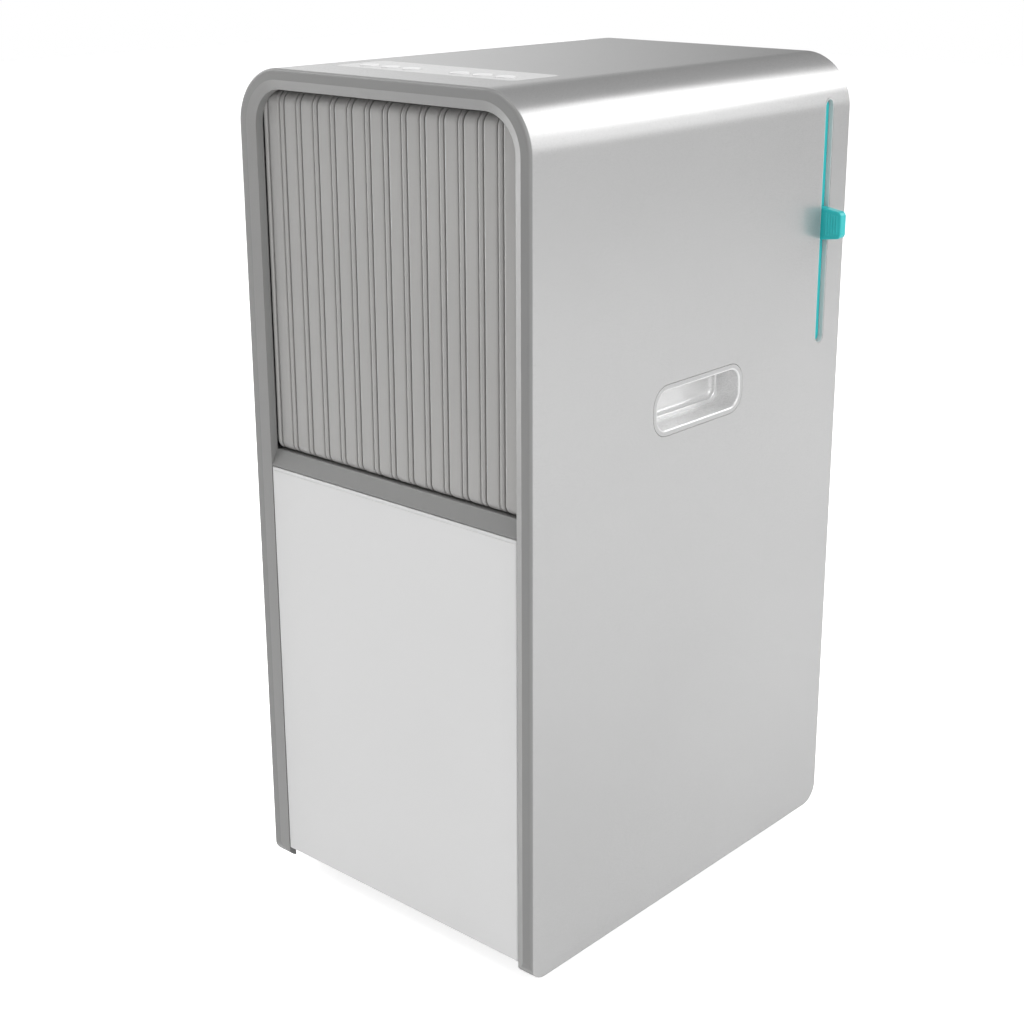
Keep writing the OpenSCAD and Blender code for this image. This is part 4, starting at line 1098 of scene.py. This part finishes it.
firstWheel = modelCasterWheel("casterWheelFr", "caster_wheel_fr")
for corner in casterPlan["corners"]:
    wheelNode = "caster_wheel_" + corner
    wheel = firstWheel
    if corner != casterPlan["corners"][0]:
        wheel = copyPiece(firstWheel, "casterWheel" + corner.capitalize(),
                          nodeMiddle(wheelNode) - nodeMiddle("caster_wheel_fr"))
    finishPiece(wheel, "wheel_" + corner, "black_rubber", wheelNode)
    yoke = refinedCopy("caster_yoke_" + corner, "casterYoke" + corner.capitalize(), 0.0005)
    finishPiece(yoke, "caster_" + corner, "dark_plastic", "caster_yoke_" + corner)
basePan = refinedCopy("base_pan", "basePan", 0.0006)
finishPiece(basePan, "root", "dark_plastic", "base_pan")
print("casters modelled")

# Materials

def newGroup(name, inputs, outputs):
    group = bpy.data.node_groups.new(name, "ShaderNodeTree")
    for label, kind, value in inputs:
        socket = group.interface.new_socket(name=label, in_out="INPUT", socket_type=kind)
        socket.default_value = value
    for label, kind in outputs:
        group.interface.new_socket(name=label, in_out="OUTPUT", socket_type=kind)
    return group, group.nodes.new("NodeGroupInput"), group.nodes.new("NodeGroupOutput")


def makeNoise(tree, place, scale, detail=4.0, roughness=0.5):
    noise = tree.nodes.new("ShaderNodeTexNoise")
    noise.inputs["Detail"].default_value = detail
    noise.inputs["Roughness"].default_value = roughness
    if isinstance(scale, (int, float)):
        noise.inputs["Scale"].default_value = scale
    else:
        tree.links.new(scale, noise.inputs["Scale"])
    tree.links.new(place, noise.inputs["Vector"])
    return noise.outputs["Fac"]


def buildSurfaceGrain():
    # fine moulded or sprayed grain, with broad and soft drifts of tone
    group, start, end = newGroup("surfaceGrain", [
        ("Vector", "NodeSocketVector", (0, 0, 0)),
        ("Grain", "NodeSocketFloat", 900.0),
        ("Drift", "NodeSocketFloat", 6.0),
    ], [("Tone", "NodeSocketFloat"), ("Speck", "NodeSocketFloat"), ("Height", "NodeSocketFloat")])
    fine = makeNoise(group, start.outputs["Vector"], start.outputs["Grain"], 2.0, 0.6)
    broad = makeNoise(group, start.outputs["Vector"], start.outputs["Drift"], 3.0, 0.5)
    coarser = makeMath(group, "MULTIPLY", start.outputs["Grain"], 0.31)
    middle = makeNoise(group, start.outputs["Vector"], coarser, 2.0, 0.5)
    tone = makeRange(group, broad, 0.3, 0.7, 0.0, 1.0)
    speck = makeRange(group, fine, 0.35, 0.65, 0.0, 1.0)
    fineShare = makeMath(group, "MULTIPLY", fine, 0.6)
    height = makeMath(group, "ADD", fineShare, makeMath(group, "MULTIPLY", middle, 0.4))
    group.links.new(tone, end.inputs["Tone"])
    group.links.new(speck, end.inputs["Speck"])
    group.links.new(height, end.inputs["Height"])
    return group


def buildEdgeWear():
    # a mask that is 1 along hard edges, broken up by noise
    group, start, end = newGroup("edgeWear", [
        ("Vector", "NodeSocketVector", (0, 0, 0)),
        ("Radius", "NodeSocketFloat", 0.0012),
        ("Amount", "NodeSocketFloat", 0.5),
    ], [("Mask", "NodeSocketFloat")])
    rounded = group.nodes.new("ShaderNodeBevel")
    rounded.samples = 4
    group.links.new(start.outputs["Radius"], rounded.inputs["Radius"])
    shape = group.nodes.new("ShaderNodeNewGeometry")
    dot = group.nodes.new("ShaderNodeVectorMath")
    dot.operation = "DOT_PRODUCT"
    group.links.new(rounded.outputs[0], dot.inputs[0])
    group.links.new(shape.outputs["Normal"], dot.inputs[1])
    edge = makeRange(group, dot.outputs["Value"], 0.99, 0.80, 0.0, 1.0)
    patches = makeNoise(group, start.outputs["Vector"], 160.0, 3.0, 0.6)
    broken = makeRange(group, patches, 0.38, 0.62, 0.25, 1.0)
    mask = makeMath(group, "MULTIPLY", makeMath(group, "MULTIPLY", edge, broken), start.outputs["Amount"])
    group.links.new(mask, end.inputs["Mask"])
    return group


def buildBrushing():
    # fine parallel lines along one axis
    group, start, end = newGroup("brushing", [
        ("Vector", "NodeSocketVector", (0, 0, 0)),
        ("Stretch", "NodeSocketVector", (30, 30, 1500)),
    ], [("Line", "NodeSocketFloat")])
    scaled = group.nodes.new("ShaderNodeVectorMath")
    scaled.operation = "MULTIPLY"
    group.links.new(start.outputs["Vector"], scaled.inputs[0])
    group.links.new(start.outputs["Stretch"], scaled.inputs[1])
    line = makeNoise(group, scaled.outputs[0], 1.0, 3.0, 0.65)
    group.links.new(makeRange(group, line, 0.3, 0.7, 0.0, 1.0), end.inputs["Line"])
    return group


surfaceGrain = buildSurfaceGrain()
edgeWear = buildEdgeWear()
brushing = buildBrushing()


def paint(tone):
    # one number is a grey, three are a colour
    if isinstance(tone, (int, float)):
        tone = (tone, tone, tone)
    return tuple(tone[:3]) + (1,)


def scaled(color, share):
    return tuple(min(1, c * share) for c in color[:3]) + (1,)


def mixColors(tree, factor, a, b):
    node = tree.nodes.new("ShaderNodeMix")
    node.data_type = "RGBA"
    sockets = [node.inputs[0], node.inputs[6], node.inputs[7]]
    for socket, value in zip(sockets, (factor, a, b)):
        if isinstance(value, (int, float, tuple)):
            socket.default_value = value
        else:
            tree.links.new(value, socket)
    return node.outputs[2]


def startMaterial(name):
    material = bpy.data.materials.new(name)
    material.use_nodes = True
    tree = material.node_tree
    shader = tree.nodes["Principled BSDF"]
    place = tree.nodes.new("ShaderNodeTexCoord").outputs["Object"]
    return material, tree, shader, place


def addGroup(tree, group, place, **values):
    node = tree.nodes.new("ShaderNodeGroup")
    node.node_tree = group
    for label, value in values.items():
        node.inputs[label].default_value = value
    tree.links.new(place, node.inputs["Vector"])
    return node


def makeFinish(name, color, shade, roughness, metallic=0.0, grain=1800, depth=0.00001, wear=0.3,
               wearColor=None, coat=0.0, coatRoughness=0.1, drift=6.0, speckle=0.3, roughSpread=0.08):
    # color and shade are the two ends of the drift of tone
    color, shade = paint(color), paint(shade)
    material, tree, shader, place = startMaterial(name)
    texture = addGroup(tree, surfaceGrain, place, Grain=grain, Drift=drift)
    edges = addGroup(tree, edgeWear, place, Amount=wear)
    base = mixColors(tree, texture.outputs["Tone"], color, shade)
    darker = scaled(color, 1 - speckle * 0.3)
    specked = mixColors(tree, makeMath(tree, "MULTIPLY", texture.outputs["Speck"], speckle), base, darker)
    rubbed = paint(wearColor) if wearColor else scaled(color, 1.15)
    worn = mixColors(tree, edges.outputs["Mask"], specked, rubbed)
    tree.links.new(worn, shader.inputs["Base Color"])
    rough = makeRange(tree, texture.outputs["Speck"], 0.0, 1.0, roughness - roughSpread,
                      roughness + roughSpread)
    rough = makeMath(tree, "ADD", rough, makeMath(tree, "MULTIPLY", edges.outputs["Mask"], -0.08))
    tree.links.new(rough, shader.inputs["Roughness"])
    bump = tree.nodes.new("ShaderNodeBump")
    bump.inputs["Distance"].default_value = depth
    bump.inputs["Strength"].default_value = 1.0
    tree.links.new(texture.outputs["Height"], bump.inputs["Height"])
    tree.links.new(bump.outputs[0], shader.inputs["Normal"])
    shader.inputs["Metallic"].default_value = metallic
    shader.inputs["Coat Weight"].default_value = coat
    shader.inputs["Coat Roughness"].default_value = coatRoughness
    return material


def makeBrushedMetal(name, color, shade, roughness, stretch):
    color, shade = paint(color), paint(shade)
    material, tree, shader, place = startMaterial(name)
    lines = addGroup(tree, brushing, place, Stretch=stretch)
    texture = addGroup(tree, surfaceGrain, place, Drift=14)
    base = mixColors(tree, texture.outputs["Tone"], color, shade)
    lined = mixColors(tree, makeMath(tree, "MULTIPLY", lines.outputs["Line"], 0.35), base, scaled(color, 0.6))
    tree.links.new(lined, shader.inputs["Base Color"])
    rough = makeRange(tree, lines.outputs["Line"], 0.0, 1.0, roughness - 0.08, roughness + 0.1)
    tree.links.new(rough, shader.inputs["Roughness"])
    bump = tree.nodes.new("ShaderNodeBump")
    bump.inputs["Distance"].default_value = 0.00002
    tree.links.new(lines.outputs["Line"], bump.inputs["Height"])
    tree.links.new(bump.outputs[0], shader.inputs["Normal"])
    shader.inputs["Metallic"].default_value = 1.0
    return material


def makeWeave(name, color, shade, pitch):
    # two crossed sets of threads, for the filter's net
    color, shade = paint(color), paint(shade)
    material, tree, shader, place = startMaterial(name)
    waves = []
    for axis in ("X", "Z"):
        wave = tree.nodes.new("ShaderNodeTexWave")
        wave.bands_direction = axis
        wave.inputs["Scale"].default_value = math.tau / (20 * pitch)
        wave.inputs["Distortion"].default_value = 0.0
        tree.links.new(place, wave.inputs["Vector"])
        waves.append(wave.outputs["Fac"])
    height = makeMath(tree, "MAXIMUM", waves[0], waves[1])
    threads = makeRange(tree, height, 0.4, 0.9, 0.0, 1.0)
    tree.links.new(mixColors(tree, threads, shade, color), shader.inputs["Base Color"])
    tree.links.new(makeRange(tree, height, 0.0, 1.0, 0.85, 0.5), shader.inputs["Roughness"])
    bump = tree.nodes.new("ShaderNodeBump")
    bump.inputs["Distance"].default_value = 0.0002
    tree.links.new(height, bump.inputs["Height"])
    tree.links.new(bump.outputs[0], shader.inputs["Normal"])
    return material


finishes = {
    "silverMetal": makeFinish("silverPaint", 0.485, 0.45, 0.30, metallic=0.55, grain=2600, depth=0.000006,
                              wear=0.25, coat=0.25, coatRoughness=0.16, drift=2.5, roughSpread=0.04),
    "bezelGrey": makeFinish("bezelGrey", (0.25, 0.25, 0.245), 0.232, 0.42, wear=0.35, wearColor=0.55),
    # painted light: a lighter copy of the bezel grey for the bezel's inner slopes, which look brighter than
    # its front band under the studio light
    "slopePaintedLight": makeFinish("slopePaintedLight", (0.32, 0.318, 0.313), 0.30, 0.40, wear=0.35, wearColor=0.55),
    "rimGrey": makeFinish("rimGrey", 0.60, 0.56, 0.36, wear=0.5, wearColor=0.9, speckle=0.2),
    "grilleGrey": makeFinish("grilleGrey", (0.42, 0.414, 0.406), (0.39, 0.384, 0.377), 0.33, grain=1500,
                             wear=0.2, wearColor=0.6),
    "panelWhite": makeFinish("panelWhite", 0.72, 0.69, 0.40, grain=1400, wearColor=0.85, drift=2.0,
                             speckle=0.15),
    "fasciaWhite": makeFinish("fasciaWhite", 0.64, 0.62, 0.32, grain=2000, depth=0.000006, wear=0.2,
                              wearColor=0.9, speckle=0.12),
    "buttonWhite": makeFinish("buttonWhite", 0.80, 0.78, 0.34, grain=2200, depth=0.000006, wear=0.1,
                              wearColor=0.95, speckle=0.1),
    "cupSilver": makeFinish("cupSilver", 0.76, 0.72, 0.28, metallic=0.3, grain=2200, depth=0.000006,
                            coat=0.3, speckle=0.2),
    "tealPlastic": makeFinish("tealPlastic", (0.022, 0.50, 0.515), (0.018, 0.45, 0.465), 0.36, grain=1500,
                              wearColor=(0.08, 0.58, 0.58)),
    "darkPlastic": makeFinish("darkPlastic", (0.030, 0.030, 0.032), 0.022, 0.50, grain=1200, depth=0.00003,
                              wear=0.4, wearColor=0.07, speckle=0.4),
    "blackRubber": makeFinish("blackRubber", 0.022, 0.03, 0.72, grain=700, depth=0.00004, wear=0.5,
                              wearColor=0.06, speckle=0.5),
    "blackSteel": makeFinish("blackSteel", 0.018, 0.024, 0.34, metallic=0.3, grain=500, depth=0.00003,
                             wear=0.6, wearColor=0.12, coat=0.3, speckle=0.25),
    "steel": makeBrushedMetal("brightSteel", 0.62, 0.52, 0.3, (40, 1500, 40)),
    "fins": makeBrushedMetal("finnedAluminium", 0.70, 0.6, 0.34, (900, 20, 8)),
    "copper": makeBrushedMetal("copperPipe", (0.72, 0.33, 0.18), (0.45, 0.20, 0.12), 0.34, (60, 60, 600)),
    "boardGreen": makeFinish("boardGreen", (0.01, 0.12, 0.05), (0.008, 0.09, 0.045), 0.32, grain=300,
                             depth=0.00006, wearColor=(0.3, 0.25, 0.1), coat=0.4, speckle=0.8),
    "filterNet": makeWeave("filterNet", (0.09, 0.095, 0.10), 0.012, 0.0012),
    "studioFloor": makeFinish("studioFloor", 0.93, 0.92, 0.55, grain=200, wear=0.0, speckle=0.02),
}
floorShader = finishes["studioFloor"].node_tree.nodes["Principled BSDF"]
floorShader.inputs["Emission Color"].default_value = (1, 1, 1, 1)
floorTree = finishes["studioFloor"].node_tree
seenByCamera = floorTree.nodes.new("ShaderNodeLightPath").outputs["Is Camera Ray"]
floorStrength = makeRange(floorTree, seenByCamera, 0.0, 1.0, studioPlan["floorGlow"], studioPlan["floorSeen"])
floorTree.links.new(floorStrength, floorShader.inputs["Emission Strength"])


def dress(piece, finish):
    piece.data.materials.clear()
    piece.data.materials.append(finishes[finish])


def dressFaces(piece, finish, test):
    # a second finish on some of a piece's faces
    piece.data.materials.append(finishes[finish])
    piece.active_material_index = len(piece.data.materials) - 1
    selectFaces(piece, test)
    bpy.ops.object.material_slot_assign()
    endEdit()


dressed = {
    "silverMetal": [outerShell],
    "bezelGrey": [frontBezel, outletSill, rearPanel],
    "grilleGrey": [outletRibs],
    "panelWhite": [frontPanel],
    "fasciaWhite": [controlFascia],
    "buttonWhite": buttonPieces,
    "cupSilver": [handleCupRight, handleCupLeft],
    "tealPlastic": [filterFrame],
    "rimGrey": [slotRim],
    "steel": [panelScrews],
    "darkPlastic": [exhaustCollar, basePan],
    "blackRubber": [cordGland] + drainPlugs,
    "studioFloor": [studioFloor],
}
for finish, pieces in dressed.items():
    for piece in pieces:
        dress(piece, finish)
# the bezel's inner slope faces, picked by which way they face, get the lighter grey: painted light on the
# slopes
slopeStart = frontY + bezelPlan["slopeDepth"] / 3
dressFaces(frontBezel, "slopePaintedLight", lambda c, n: -0.97 < n.y < -0.86 and c.y > slopeStart)
for cup in (handleCupRight, handleCupLeft):
    dressFaces(cup, "silverMetal", lambda c, n: abs(n.x) > 0.99 and abs(c.x) > sideX - tiny)
for corner in casterPlan["corners"]:
    dress(bpy.data.objects["casterWheel" + corner.capitalize()], "blackRubber")
    dress(bpy.data.objects["casterYoke" + corner.capitalize()], "darkPlastic")

cadFinishes = {
    "blackSteel": ["compressor", "accumulator"],
    "blackRubber": ["compressor_feet"],
    "steel": ["run_capacitor", "evaporator_motor", "condenser_motor", "vane_motor"]
    + ["caster_axle_" + corner for corner in casterPlan["corners"]],
    "fins": ["evaporator_coil", "condenser_coil"],
    "copper": ["refrigerant_pipes"],
    "boardGreen": ["control_board"],
    "filterNet": ["filter_mesh"],
}
namedNodes = {node: finish for finish, nodes in cadFinishes.items() for node in nodes}
for node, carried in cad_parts.items():
    if carried.hide_render:
        continue
    finish = finishes[namedNodes.get(node, "darkPlastic")]
    if not carried.material_slots:
        carried.data.materials.append(finish)
    for materialSlot in carried.material_slots:
        materialSlot.material = finish
print("materials made")
